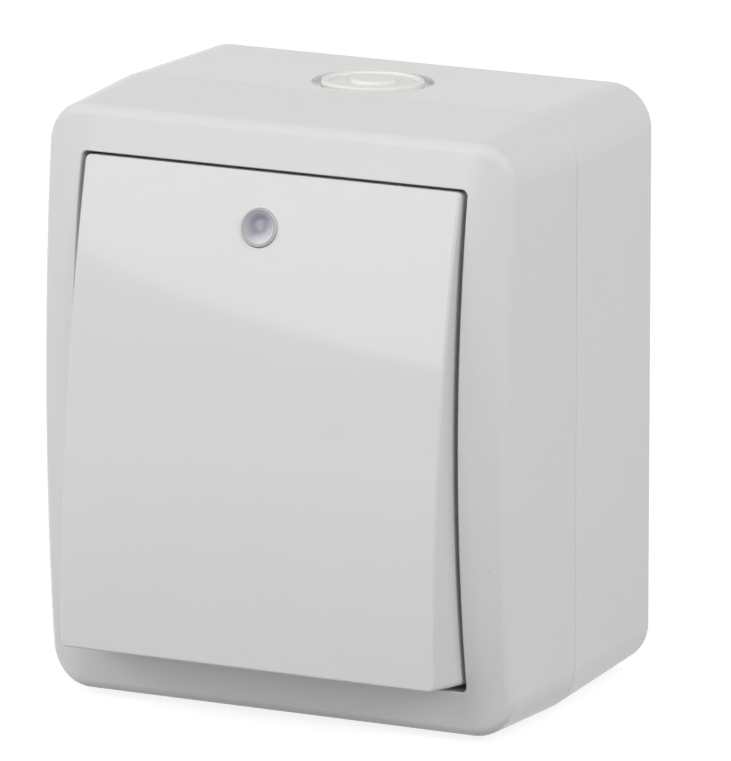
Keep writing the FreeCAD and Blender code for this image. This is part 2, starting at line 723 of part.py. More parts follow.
def make_mechanism_base():
    """The insulating block with its contact cavity, terminal pockets and wire holes."""
    body = new_body("mechanism_base")
    add_slab(body, "block", centred("insert_half_width", "insert_half_height", "insert_corner"),
             "insert_back", "insert_front")
    cut_slab(body, "cavity", centred("cavity_half_width", "cavity_half_height"),
             "strip_depth", "insert_front")
    for name, side in (("live", "-"), ("load", "")):
        across = f"{side}clamp_offset"
        up = f"{side}contact_height"
        cut_slab(body, f"{name}_pocket",
                 rectangle(f"{across} - clamp_pocket", f"{across} + clamp_pocket",
                           f"{up} - clamp_pocket", f"{up} + clamp_pocket"),
                 "clamp_back", "insert_front")
        inner = f"{side}cavity_half_width"
        cut_slab(body, f"{name}_channel",
                 rectangle(*sorted([across, inner], key=value),
                           f"{up} - strip_width / 2 - clamp_fit",
                           f"{up} + strip_width / 2 + clamp_fit"),
                 "strip_depth", "insert_front")
        wire = new_sketch(body, f"{name}_wire_outline", "YZ_Plane",
                          f"{side}(insert_half_width + overrun)")
        draw_circle(wire, "wire_hole_radius", "-(strip_front + clamp_window_front) / 2", up)
        feature(body, "Pocket", f"{name}_wire_hole", Profile=wire, Reversed=(side == "-"),
                Length="insert_half_width + overrun - clamp_offset")
    add_slab(body, "contact_pad",
             rectangle("-cavity_half_width", "cavity_half_width - strip_thickness - 2 * clamp_fit",
                       "contact_height - strip_width / 2", "contact_height + strip_width / 2"),
             "strip_depth", "fixed_strip_back")
    add_slab(body, "stop",
             rectangle("fulcrum_shelf", "cavity_half_width", "-lever_half_length",
                       "lever_overhang - lever_half_length"),
             "strip_depth", "stop_depth")
    return body


def make_mechanism_cap():
    """The insulating plate over the contacts, with the two ears that carry the key's pivot."""
    body = new_body("mechanism_cap")
    add_slab(body, "plate", rectangle("-insert_half_width", "insert_half_width", "-insert_half_height",
                                      "cap_top", "insert_corner"), "cap_back", "cap_front")
    cut_slab(body, "lever_window", centred("lever_half_width + window_margin",
                                           "lever_half_length + window_margin"),
             "cap_back", "cap_front")
    cut_slab(body, "screw_access", circles("terminal_head_radius + window_margin / 2", TERMINALS),
             "cap_back", "cap_front")
    cut_slab(body, "lamp_pin_holes", circles("lamp_pin_radius + seat_clearance", LAMP_PINS),
             "cap_back", "cap_front")
    for name, low, high in (("left", "-ear_outer", "-ear_gap"), ("right", "ear_gap", "ear_outer")):
        add_slab(body, f"{name}_ear", rectangle(low, high, "-ear_half_width", "ear_half_width"),
                 "cap_front", "ear_reach")
    cut_across(body, "pivot_bores", lambda sketch: draw_circle(sketch, "trunnion_bore",
                                                               "-pivot_depth"),
               "2 * (ear_outer + overrun)")
    tip = value("ear_reach")
    round_edges(body, "ear_tops", "ear_round",
                lambda point: abs(point.y + tip) < 1e-3
                and abs(abs(point.z) - value("ear_half_width")) < 1e-3)
    return body


def make_support_frame():
    """The steel yoke that is clamped round the insert and screwed to two posts."""
    body = new_body("support_frame")
    half, wing, reach = "insert_half_width", "yoke_wing / 2", "yoke_reach"
    up = "insert_half_height"
    points = [(f"-({half})", f"-({up})"), (half, f"-({up})"), (half, f"-({wing})"),
              (reach, f"-({wing})"), (reach, wing), (half, wing), (half, up), (f"-({half})", up),
              (f"-({half})", wing), (f"-({reach})", wing), (f"-({reach})", f"-({wing})"),
              (f"-({half})", f"-({wing})")]
    add_slab(body, "plate", outline(points), "insert_front", "cap_back")
    cut_slab(body, "window", centred("insert_half_width - yoke_rim",
                                     "contact_height + clamp_half + yoke_rim"),
             "insert_front", "cap_back")
    cut_slab(body, "screw_holes", circles("screw_hole", YOKE_POSTS), "insert_front", "cap_back")
    return body


def make_insert_seal():
    """The seal ring between the insert's cap and the floor of the cover."""
    body = new_body("insert_seal")
    add_slab(body, "ring",
             ring(rectangle("-seal_outer_half_width", "seal_outer_half_width", "seal_bottom",
                            "seal_top", "insert_corner + seal_width"),
                  rectangle("-window_half_width", "window_half_width", "window_bottom",
                            "window_top", "insert_corner")),
             "cap_front", "floor_back")
    return body


def make_common_contact():
    """The bent strip from the live clamp, with the fulcrum that the lever rocks on."""
    body = new_body("common_contact")
    half = "strip_width / 2"
    points = [("-clamp_offset - clamp_half", f"-contact_height - {half}"),
              ("fulcrum_shelf - clamp_fit", f"-contact_height - {half}"),
              ("fulcrum_shelf - clamp_fit", "fulcrum_half"),
              ("-fulcrum_shelf + clamp_fit", "fulcrum_half"),
              ("-fulcrum_shelf + clamp_fit", f"-contact_height + {half}"),
              ("-clamp_offset - clamp_half", f"-contact_height + {half}")]
    add_slab(body, "strip", outline(points), "strip_depth", "strip_front")
    edge = [("strip_front", "-fulcrum_half"), ("fulcrum_depth", "-fulcrum_tip"),
            ("fulcrum_depth", "fulcrum_tip"), ("strip_front", "fulcrum_half")]
    add_across(body, "fulcrum", side_outline(edge), "2 * (fulcrum_shelf - clamp_fit)")
    return body


def make_fixed_contact():
    """The joggled strip from the load clamp to the fixed contact."""
    body = new_body("fixed_contact")
    bend = "cavity_half_width - clamp_fit"
    sketch = new_sketch(body, "strip_outline", "XY_Plane", "contact_height - strip_width / 2")
    points = [("-strip_width / 2", "fixed_strip_back"), (f"{bend} - strip_thickness",
                                                         "fixed_strip_back"),
              (f"{bend} - strip_thickness", "strip_depth"),
              ("clamp_offset + clamp_half", "strip_depth"),
              ("clamp_offset + clamp_half", "strip_front"), (bend, "strip_front"),
              (bend, "fixed_strip_front"), ("-strip_width / 2", "fixed_strip_front")]
    draw_outline(sketch, [(across, f"-({depth})") for across, depth in points])
    feature(body, "Pad", "strip", Profile=sketch, Length="strip_width")
    cut_slab(body, "rivet_hole", circles("rivet_shank + seat_clearance", [("0", "contact_height")]),
             "fixed_strip_back", "fixed_strip_front")
    return body


def make_rivet(label, strip_back, strip_front, head_front, reverse=False):
    """A contact rivet: a shank through its strip and a head on the side that touches."""
    body = new_body(label)
    place = [("0", "contact_height")]
    add_slab(body, "shank", circles("rivet_shank", place), strip_back, strip_front)
    if reverse:
        add_slab(body, "head", circles("rivet_radius", place), head_front, strip_back)
    else:
        add_slab(body, "head", circles("rivet_radius", place), strip_front, head_front)
    return body


def make_clamp(label, side):
    """A brass terminal clamp: a cage round the strip's end, threaded for its screw."""
    body = new_body(label)
    across, up = f"{side}clamp_offset", f"{side}contact_height"
    add_slab(body, "block", rectangle(f"{across} - clamp_half", f"{across} + clamp_half",
                                      f"{up} - clamp_half", f"{up} + clamp_half"),
             "clamp_back", "clamp_front")
    inside = "clamp_half - clamp_wall"
    cut_across(body, "window",
               side_outline([("strip_depth", f"{up} - ({inside})"),
                             ("clamp_window_front", f"{up} - ({inside})"),
                             ("clamp_window_front", f"{up} + ({inside})"),
                             ("strip_depth", f"{up} + ({inside})")]),
               "clamp_size + overrun", across)
    cut_slab(body, "thread", circles("terminal_screw_radius + seat_clearance", [(across, up)]),
             "clamp_window_front", "clamp_front")
    return body


def make_lamp_holder():
    """The socket on the insert's cap that holds the lamp behind the key's lens."""
    body = new_body("lamp_holder")
    place = [("indicator_offset", "lamp_height")]
    add_slab(body, "socket", circles("lamp_holder_radius", place),
             "cap_front", "cap_front + lamp_holder_height")
    cut_slab(body, "bore", circles("lamp_bore", place),
             "cap_front + lamp_holder_wall", "cap_front + lamp_holder_height")
    cut_slab(body, "pin_holes", circles("lamp_pin_radius + seat_clearance", LAMP_PINS),
             "cap_front", "cap_front + lamp_holder_wall")
    return body


def make_lamp():
    """The indicator lamp: a round-nosed glass bulb."""
    body = new_body("indicator_lamp")
    seat = "cap_front + lamp_holder_wall"
    add_slab(body, "bulb", circles("lamp_radius", [("indicator_offset", "lamp_height")]),
             seat, f"{seat} + lamp_length")
    nose = value(f"{seat} + lamp_length")
    round_edges(body, "nose", "lamp_nose", lambda point: abs(point.y + nose) < 1e-3)
    return body


def make_lamp_leads():
    """The lamp's two wire legs, from its board to its foot."""
    body = new_body("lamp_leads")
    add_slab(body, "legs", circles("lamp_pin_radius", LAMP_PINS),
             "cap_back - lamp_board_thickness", "cap_front + lamp_holder_wall")
    return body


def make_lamp_board():
    """The small board behind the cap that carries the lamp's resistor."""
    body = new_body("lamp_board")
    half = "lamp_board_width / 2"
    low = "insert_half_height + window_margin"
    add_slab(body, "plate", rectangle(f"indicator_offset - {half}", f"indicator_offset + {half}",
                                      low, f"{low} + lamp_board_height"),
             "cap_back - lamp_board_thickness", "cap_back")
    cut_slab(body, "pin_holes", circles("lamp_pin_radius + seat_clearance", LAMP_PINS),
             "cap_back - lamp_board_thickness", "cap_back")
    return body


def make_lamp_resistor():
    """The resistor on the back of the lamp's board."""
    body = new_body("lamp_resistor")
    depth = "cap_back - lamp_board_thickness - resistor_radius - seat_clearance"
    add_across(body, "barrel",
               lambda sketch: draw_circle(sketch, "resistor_radius", f"-({depth})", "lamp_height"),
               "resistor_length", "indicator_offset")
    return body


def add_level(body, name, draw, low, high):
    """Add material between two heights, in an outline seen from above."""
    sketch = new_sketch(body, f"{name}_outline", "XY_Plane", low)
    draw(sketch)
    return feature(body, "Pad", name, Profile=sketch, Length=f"({high}) - ({low})")


def cut_level(body, name, draw, low, high):
    """Cut material away between two heights, in an outline seen from above."""
    sketch = new_sketch(body, f"{name}_outline", "XY_Plane", high)
    draw(sketch)
    return feature(body, "Pocket", name, Profile=sketch, Length=f"({high}) - ({low})")


def make_grommet():
    """The soft cable entry: a flange inside, a lip in the housing's seat and a raised middle."""
    body = new_body("top_grommet")
    centre = [("0", "0")]
    foot = "-(housing_wall + 2 * seat_clearance)"
    lip_low = "seat_clearance - grommet_seat_depth"
    add_level(body, "lip", circles("grommet_lip", centre), lip_low, "grommet_lip_height")
    add_level(body, "neck", circles("grommet_neck", centre), foot, lip_low)
    add_level(body, "flange", circles("grommet_flange", centre),
              f"{foot} - grommet_flange_height", foot)
    cut_level(body, "dish", circles("grommet_lip - grommet_lip_width", centre),
              "0", "grommet_lip_height + overrun")
    add_level(body, "middle", circles("grommet_dome_radius", centre), "0", "grommet_dome_height")
    cut_level(body, "underside", circles("grommet_neck - grommet_membrane", centre),
              f"{foot} - grommet_flange_height", "-grommet_membrane")
    middle_top = value("grommet_dome_height")
    lip_top = value("grommet_lip_height")
    round_edges(body, "middle_edge", "grommet_dome_height * 0.8",
                lambda point: abs(point.z - middle_top) < 1e-3)
    round_edges(body, "lip_edge", "grommet_lip_round", lambda point: abs(point.z - lip_top) < 1e-3)
    body.setExpression("Placement", bound(
        "placement(vector(entry_offset; -entry_depth; entry_half_height);"
        " rotation(vector(1; 0; 0); -base_draft))"))
    return body


PIVOT = ("placement(vector(0; -pivot_depth; 0); rotation(vector(1; 0; 0); -half_tilt))")
LEVER = ("placement(vector(0; -lever_back; 0); rotation(vector(1; 0; 0); contact_tilt))")


def make_key():
    """The tilting key: a shell with a curved face, seat ribs and hooks for the cradle."""
    body = new_body("rocker")
    loft(body, "blank", "AdditiveLoft",
         centred("key_half_width", "key_rear_half_length", None, "recess_rise"), "-key_skirt",
         centred("key_front_half_width", "key_front_half_length", None, "recess_rise"),
         "key_blank")
    cut_across(body, "face", front_curve("key_apex", "key_curve_radius",
                                         "key_half_length + 2 * overrun",
                                         "key_apex + 2 * overrun"), "2 * housing_width")
    doc.recompute()
    solid = body.Tip
    skirt = value("key_skirt")
    rear = faces_where(solid.Shape, lambda centre, face: abs(centre.y - skirt) < 1e-3)
    feature(body, "Thickness", "hollow", Base=(solid, rear), Value="key_wall", Reversed=True,
            Join="Arc")
    half_width = value("key_front_half_width - overrun")
    half_length = value("key_half_length - overrun")
    round_edges(body, "corners", "key_corner",
                lambda point: abs(point.x) > half_width and abs(point.z) > half_length)
    face_low = value("key_rise - overrun")
    inner_width = value("key_half_width - key_wall")
    inner_length = value("key_half_length - key_wall + overrun / 2")

    def on_front_rim(point):
        return -point.y > face_low and (abs(point.x) > inner_width or abs(point.z) > inner_length)

    round_edges(body, "front_edge", "key_edge", on_front_rim)
    rib_front = "key_apex - key_wall / 2"
    rib_offset = "cradle_half_width - key_rib"
    for name, side in (("left", "-"), ("right", "")):
        add_slab(body, f"{name}_rib",
                 rectangle(f"{side}({rib_offset}) - key_rib / 2",
                           f"{side}({rib_offset}) + key_rib / 2",
                           "-cradle_half_height", "cradle_half_height"),
                 "cradle_front", rib_front)
    inner = "cradle_half_height + seat_clearance"
    catch = "cradle_half_height - key_hook / 2"
    under = "cradle_front - cradle_plate - seat_clearance"
    for name, side in (("top", ""), ("bottom", "-")):
        points = [(rib_front, f"{side}({inner})"), (rib_front, f"{side}({inner} + key_hook)"),
                  (f"{under} - key_hook", f"{side}({inner} + key_hook)"),
                  (f"{under} - key_hook / 2", f"{side}({catch})"),
                  (under, f"{side}({catch})"), (under, f"{side}({inner})")]
        add_across(body, f"{name}_hook", side_outline(points), "cradle_half_width")
    hole = new_sketch(body, "lens_hole_outline", "XZ_Plane", "0")
    hole.setExpression("AttachmentOffset.Base.z", None)
    hole.setExpression("AttachmentOffset", bound(
        "placement(vector(indicator_offset; indicator_rise; indicator_reach);"
        " rotation(vector(1; 0; 0); -indicator_tilt))"))
    draw_circle(hole, "lens_radius + seat_clearance")
    feature(body, "Pocket", "lens_hole", Profile=hole, Length="3 * key_wall", Midplane=True)
    body.setExpression("Placement", bound(PIVOT))
    return body


def make_lens():
    """The indicator lens: a clear plug with a dished face, a small bump and a rear flange."""
    body = new_body("indicator_lens")
    centre = [("0", "0")]
    seat = "-(key_wall + 2 * seat_clearance)"
    add_slab(body, "plug", circles("lens_radius", centre), seat, "lens_lip")
    add_slab(body, "flange", circles("lens_radius + lens_flange", centre),
             f"{seat} - lens_flange", seat)
    add_slab(body, "stem", circles("lens_stem_radius", centre),
             f"{seat} - lens_flange - lens_stem_length", f"{seat} - lens_flange")
    dish = feature(body, "SubtractiveSphere", "dish", Radius="dish_sphere")
    dish.setExpression("Placement.Base.y", bound("lens_dish_depth - lens_lip - dish_sphere"))
    bump = feature(body, "AdditiveSphere", "bump", Radius="lens_bump_radius")
    bump.setExpression("Placement.Base.y", bound("lens_dish_depth - lens_lip"))
    body.setExpression("Placement", bound(
        f"{PIVOT} * placement(vector(indicator_offset; -indicator_reach; indicator_rise);"
        " rotation(vector(1; 0; 0); -indicator_tilt))"))
    return body


def make_cradle():
    """The cradle that the key snaps on to, with its trunnions and the plunger's guide."""
    body = new_body("rocker_cradle")
    back = "cradle_front - cradle_plate"
    add_slab(body, "plate", centred("cradle_half_width", "cradle_half_height"),
             back, "cradle_front")
    add_slab(body, "stem", centred("stem_half", "stem_half"), "-stem_reach", back)
    add_slab(body, "cheeks", centred("cradle_half_width", "trunnion_radius + overrun"),
             "-(trunnion_radius + overrun)", back)
    for name, side in (("left", "-"), ("right", "")):
        sketch = new_sketch(body, f"{name}_trunnion_outline", "YZ_Plane",
                            f"{side}(cradle_half_width - overrun)")
        draw_circle(sketch, "trunnion_radius")
        feature(body, "Pad", f"{name}_trunnion", Profile=sketch, Reversed=(side == "-"),
                Length="ear_outer - cradle_half_width + overrun")
    cut_slab(body, "guide", circles("plunger_bore", [("0", "0")]), "-stem_reach", "bore_bottom")
    body.setExpression("Placement", bound(PIVOT))
    return body


def make_plunger():
    """The hollow plunger, whose round nose rides on the contact lever."""
    body = new_body("plunger")
    centre = [("0", "0")]
    add_slab(body, "barrel", circles("plunger_radius", centre), "-plunger_floor",
             "plunger_length - plunger_reach")
    nose = feature(body, "AdditiveSphere", "nose", Radius="plunger_nose")
    nose.setExpression("Placement.Base.y", bound("plunger_floor"))
    cut_slab(body, "hollow", circles("plunger_radius - plunger_wall", centre),
             "plunger_wall - plunger_floor", "plunger_length - plunger_reach")
    body.setExpression("Placement", bound(PIVOT))
    return body


def make_spring():
    """The toggle spring: a helix of wire between the cradle's bore and the plunger."""
    body = new_body("toggle_spring")
    start = "plunger_floor - plunger_wall - plunger_travel - spring_wire - seat_clearance"
    sketch = new_sketch(body, "wire_outline", "XY_Plane", "0")
    draw_circle(sketch, "spring_wire", "spring_radius", start)
    helix = feature(body, "AdditiveHelix", "coil", Profile=sketch,
                    ReferenceAxis=(sketch, ["V_Axis"]))
    helix.Mode = "height-turns-angle"
    helix.setExpression("Height", bound(f"{start} + bore_bottom - spring_wire - seat_clearance"))
    helix.setExpression("Turns", bound("spring_turns"))
    helix.Reversed = True
    body.setExpression("Placement", bound(PIVOT))
    return body


def make_lever():
    """The contact lever, tilted on the fulcrum."""
    body = new_body("contact_lever")
    add_slab(body, "strip", centred("lever_half_width", "lever_half_length"),
             "0", "lever_thickness")
    cut_slab(body, "rivet_hole", circles("rivet_shank + seat_clearance", [("0", "contact_height")]),
             "0", "lever_thickness")
    body.setExpression("Placement", bound(LEVER))
    return body


TERMINALS = [("-clamp_offset", "-contact_height"), ("clamp_offset", "contact_height")]
LAMP_PINS = [("indicator_offset - lamp_pin_pitch / 2", "lamp_height"),
             ("indicator_offset + lamp_pin_pitch / 2", "lamp_height")]


def make_all():
    """Make every piece, from the wall outwards."""
    make_base_box()
    make_front_cover()
    make_gasket()
    make_grommet()
    make_mechanism_base()
    make_support_frame()
    make_mechanism_cap()
    make_insert_seal()
    make_screws("support_screws", YOKE_POSTS, "cap_back", "screw_head_radius",
                "screw_head_height", "screw_radius", "screw_length")
    make_screws("cover_screws", COVER_POSTS, "floor_depth", "screw_head_radius",
                "screw_head_height", "screw_radius", "screw_length")
    make_common_contact()
    make_fixed_contact()
    make_rivet("fixed_rivet", "fixed_strip_back", "fixed_strip_front", "fixed_rivet_front")
    make_clamp("live_clamp", "-")
    make_clamp("load_clamp", "")
    make_screws("terminal_screws", TERMINALS, "clamp_front", "terminal_head_radius",
                "terminal_head_height", "terminal_screw_radius",
                "clamp_front - strip_front - 2 * clamp_fit")
    make_lamp_holder()
    make_lamp()
    make_lamp_leads()
    make_lamp_board()
    make_lamp_resistor()
    make_key()
    make_lens()
    make_cradle()
    make_spring()
    make_plunger()
    make_lever()
    lever_rivet = make_rivet("lever_rivet", "0", "lever_thickness", "-rivet_height", reverse=True)
    lever_rivet.setExpression("Placement", bound(LEVER))


def check_all():
    """Stop if any object failed, or any piece isn't a sound solid."""
    for item in doc.Objects:
        if "Invalid" in item.State or "Error" in item.State:
            raise RuntimeError(f"{item.Label} failed: {item.State}")
    for piece in PIECES:
        shape = piece.Shape
        if shape.isNull() or not shape.isValid() or not shape.Solids:
            raise RuntimeError(f"{piece.Label} is not a sound solid")


make_all()
doc.recompute()
check_all()
os.makedirs("parts", exist_ok=True)
for piece in PIECES:
    piece.Shape.exportStep(f"parts/{piece.Label}.step")
    box = piece.Shape.BoundBox
    print(f"{piece.Label:16s} solids {len(piece.Shape.Solids)} volume {piece.Shape.Volume:9.1f}"
          f" X {box.XMin:6.2f} {box.XMax:6.2f} Y {box.YMin:7.2f} {box.YMax:6.2f}"
          f" Z {box.ZMin:7.2f} {box.ZMax:6.2f}")
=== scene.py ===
"""Looks of the surface-mounted weatherproof rocker switch.

Every visible surface of the switch gets its finish here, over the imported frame: glossy white
mouldings, the soft cable entry, the clear indicator lens, and the metal, insulation and seals
inside. Pieces too fine for the solids are built here too: the indicator lens, the shaded line of
the housing's joint, the lamp with its electrodes, the banded resistor, the board's tracks and the
screws' threads. The camera, the light and the floor follow the photograph.
"""

import json
import logging
import math
from dataclasses import dataclass, field
from enum import Enum
from typing import Any, Optional, Sequence, Union

import bmesh
import bpy
from mathutils import Matrix, Vector


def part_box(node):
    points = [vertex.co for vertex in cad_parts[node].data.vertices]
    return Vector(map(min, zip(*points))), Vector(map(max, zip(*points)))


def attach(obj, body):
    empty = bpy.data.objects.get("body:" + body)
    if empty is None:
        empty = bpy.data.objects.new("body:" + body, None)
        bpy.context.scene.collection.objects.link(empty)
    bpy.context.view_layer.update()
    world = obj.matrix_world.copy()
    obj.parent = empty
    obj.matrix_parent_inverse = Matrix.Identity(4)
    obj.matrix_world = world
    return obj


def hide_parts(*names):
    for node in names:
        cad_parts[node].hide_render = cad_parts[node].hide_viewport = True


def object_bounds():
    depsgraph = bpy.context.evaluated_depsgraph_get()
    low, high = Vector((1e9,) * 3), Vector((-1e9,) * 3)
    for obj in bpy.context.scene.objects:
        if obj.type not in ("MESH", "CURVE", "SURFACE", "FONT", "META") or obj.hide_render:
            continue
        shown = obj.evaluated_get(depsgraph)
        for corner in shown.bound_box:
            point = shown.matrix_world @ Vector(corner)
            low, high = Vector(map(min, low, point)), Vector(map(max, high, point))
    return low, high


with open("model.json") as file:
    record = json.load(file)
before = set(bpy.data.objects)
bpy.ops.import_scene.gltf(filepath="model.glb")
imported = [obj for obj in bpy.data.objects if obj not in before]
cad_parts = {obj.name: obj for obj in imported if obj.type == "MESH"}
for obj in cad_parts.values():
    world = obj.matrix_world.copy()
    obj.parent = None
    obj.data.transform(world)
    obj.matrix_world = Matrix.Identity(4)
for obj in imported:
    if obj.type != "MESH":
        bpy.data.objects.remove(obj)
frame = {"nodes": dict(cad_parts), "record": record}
CAD_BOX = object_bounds()

LOG = logging.getLogger("weatherproof_switch")
MILLIMETRE = 0.001
SHARP_ANGLE = math.radians(35.0)

Triple = tuple[float, float, float]
Colour = Triple
Profile = Sequence[tuple[float, float]]


class Body(Enum):
    """The moving bodies that a piece can ride on."""

    HOUSING = "housing"
    KEY = "key"


class Slot(Enum):
    """The record's material slots."""

    HOUSING = "housing"
    KEY = "key"
    GROMMET = "grommet"
    LENS = "lens"
    SEAL = "seal"
    INSULATION = "insulation"
    STEEL = "steel"
    SCREW = "screw"
    BRASS = "brass"
    CONTACT = "contact_metal"
    GLASS = "lamp_glass"
    BOARD = "board"
    RESISTOR = "resistor"


class LampShape(Enum):
    """The outlines that a lamp can have."""

    OVAL = "ELLIPSE"
    BOX = "RECTANGLE"


def grey(level: float, warmth: float = 0.0) -> Colour:
    """Give a linear colour near grey; a positive warmth lowers its blue."""
    return (level * (1 + warmth / 2), level, level * (1 - warmth))


def scaled(colour: Colour, factor: float) -> Colour:
    """Make a colour lighter or darker, and keep it within 0 to 1."""
    return tuple(min(1.0, channel * factor) for channel in colour)


class Wire:
    """A node's output socket that arithmetic works on, by adding Math nodes."""

    def __init__(self, bench: "Bench", socket: bpy.types.NodeSocket) -> None:
        """Wrap an output socket of a bench's node tree."""
        self.bench = bench
        self.socket = socket

    def __add__(self, other: "Value") -> "Wire":
        """Add."""
        return self.bench.math("ADD", self, other)

    def __radd__(self, other: float) -> "Wire":
        """Add, with the number first."""
        return self.bench.math("ADD", other, self)

    def __sub__(self, other: "Value") -> "Wire":
        """Subtract."""
        return self.bench.math("SUBTRACT", self, other)

    def __rsub__(self, other: float) -> "Wire":
        """Subtract from a number."""
        return self.bench.math("SUBTRACT", other, self)

    def __mul__(self, other: "Value") -> "Wire":
        """Multiply."""
        return self.bench.math("MULTIPLY", self, other)

    def __rmul__(self, other: float) -> "Wire":
        """Multiply, with the number first."""
        return self.bench.math("MULTIPLY", other, self)

    def __truediv__(self, other: "Value") -> "Wire":
        """Divide."""
        return self.bench.math("DIVIDE", self, other)

    def __rtruediv__(self, other: float) -> "Wire":
        """Divide a number by this."""
        return self.bench.math("DIVIDE", other, self)

    def clamped(self) -> "Wire":
        """Keep the value between 0 and 1."""
        return self.bench.math("MINIMUM", self.bench.math("MAXIMUM", self, 0.0), 1.0)

    def above(self, edge: float, softness: float) -> "Wire":
        """Make a mask that starts to rise from 0 at the edge, and is 1 past the softness."""
        return ((self - edge) / softness).clamped()


Value = Union[Wire, float]


class Bench:
    """A node tree, and the few ways in which nodes are added to it."""

    def __init__(self, tree: bpy.types.NodeTree) -> None:
        """Take a tree over, and clear away what it holds."""
        self.tree = tree
        self.tree.nodes.clear()

    def node(self, kind: str, settings: dict[str, Any], inputs: dict[Union[str, int], Any],
             output: Union[str, int, None] = 0) -> Optional[Wire]:
        """Add a node.

        Args:
            kind: The node's type.
            settings: Its own settings, such as a Math node's operation or a ramp's stops.
            inputs: A value or a link for each named or numbered socket.
            output: The output that is given back, or None where the node ends the tree.

        Returns:
            The output, if there is one.
        """
        made = self.tree.nodes.new(kind)
        for key, content in settings.items():
            if key == "stops":
                self._set_stops(made.color_ramp, content)
            else:
                setattr(made, key, content)
        for key, content in inputs.items():
            socket = made.inputs[key]
            if isinstance(content, Wire):
                self.tree.links.new(content.socket, socket)
            elif socket.type == "RGBA":
                socket.default_value = (*content, 1.0)
            else:
                socket.default_value = content
        return None if output is None else Wire(self, made.outputs[output])

    @staticmethod
    def _set_stops(ramp: bpy.types.ColorRamp, stops: Sequence[tuple[float, Colour]]) -> None:
        """Give a ramp its stops.

        Args:
            ramp: The ramp.
            stops: Each stop's place, from 0 to 1, and its colour.
        """
        while len(ramp.elements) > 1:
            ramp.elements.remove(ramp.elements[-1])
        for index, (place, colour) in enumerate(stops):
            element = ramp.elements[0] if index == 0 else ramp.elements.new(place)
            element.position = place
            element.color = (*colour, 1.0)

    def math(self, operation: str, *values: Value) -> Wire:
        """Add a Math node and give its output."""
        return self.node("ShaderNodeMath", {"operation": operation}, dict(enumerate(values)))

    def vector(self, operation: str, *values: Union[Wire, Triple],
               output: Union[str, int] = 0) -> Wire:
        """Add a Vector Math node and give the output that is asked for."""
        return self.node("ShaderNodeVectorMath", {"operation": operation},
                         dict(enumerate(values)), output)

    def place(self) -> Wire:
        """Give the point on the surface, in metres of the switch's own frame."""
        return self.node("ShaderNodeTexCoord", {}, {}, "Object")

    def noise(self, size: float, detail: float = 2.0, stretch: Triple = (1.0, 1.0, 1.0)) -> Wire:
        """Add noise whose features have a real size.

        Args:
            size: The features' size in metres.
            detail: The noise's octaves.
            stretch: How many times longer the features are along each axis.

        Returns:
            A value from 0 to 1.
        """
        scale = tuple(1.0 / (size * factor) for factor in stretch)
        return self.node("ShaderNodeTexNoise", {"noise_dimensions": "3D"},
                         {"Vector": self.vector("MULTIPLY", self.place(), scale),
                          "Scale": 1.0, "Detail": detail})

    def cells(self, size: float) -> Wire:
        """Give the distance to the nearest of many scattered points, in shares of their spacing."""
        return self.node("ShaderNodeTexVoronoi", {"feature": "F1"},
                         {"Vector": self.place(), "Scale": 1.0 / size}, "Distance")

    def off_axis(self, centre: Triple, axis: Triple) -> Wire:
        """Give the distance, in metres, from an axis through a point."""
        reach = self.vector("SUBTRACT", self.place(), centre)
        return self.vector("LENGTH", self.vector("CROSS_PRODUCT", reach, axis), output="Value")

    def mixed(self, share: Wire, first: Union[Wire, Colour], second: Union[Wire, Colour]) -> Wire:
        """Mix two colours: the first where the share is 0, the second where it is 1."""
        return self.node("ShaderNodeMix", {"data_type": "RGBA"}, {0: share, 6: first, 7: second}, 2)

    def ramp(self, share: Wire, stops: Sequence[tuple[float, Colour]]) -> Wire:
        """Turn a value from 0 to 1 into the colours of a ramp."""
        return self.node("ShaderNodeValToRGB", {"stops": stops}, {0: share})

    def bump(self, height: Wire, depth: float) -> Wire:
        """Turn a height into a surface normal; the depth is a height of 1 in metres."""
        return self.node("ShaderNodeBump", {}, {"Height": height, "Distance": depth})

    def principled(self, **sockets: Any) -> None:
        """Add the surface's shader, with underscores for its sockets' spaces, and end the tree."""
        inputs = {key.replace("_", " "): content for key, content in sockets.items()}
        self.end(self.node("ShaderNodeBsdfPrincipled", {}, inputs))

    def end(self, shader: Wire, kind: str = "ShaderNodeOutputMaterial") -> None:
        """Add the tree's output and join a shader to it."""
        self.node(kind, {}, {"Surface": shader}, None)


def new_material(name: str) -> tuple[bpy.types.Material, Bench]:
    """Make an empty material.

    Args:
        name: Its name.

    Returns:
        The material and the bench for its nodes.
    """
    material = bpy.data.materials.new(name)
    material.use_nodes = True
    return material, Bench(material.node_tree)


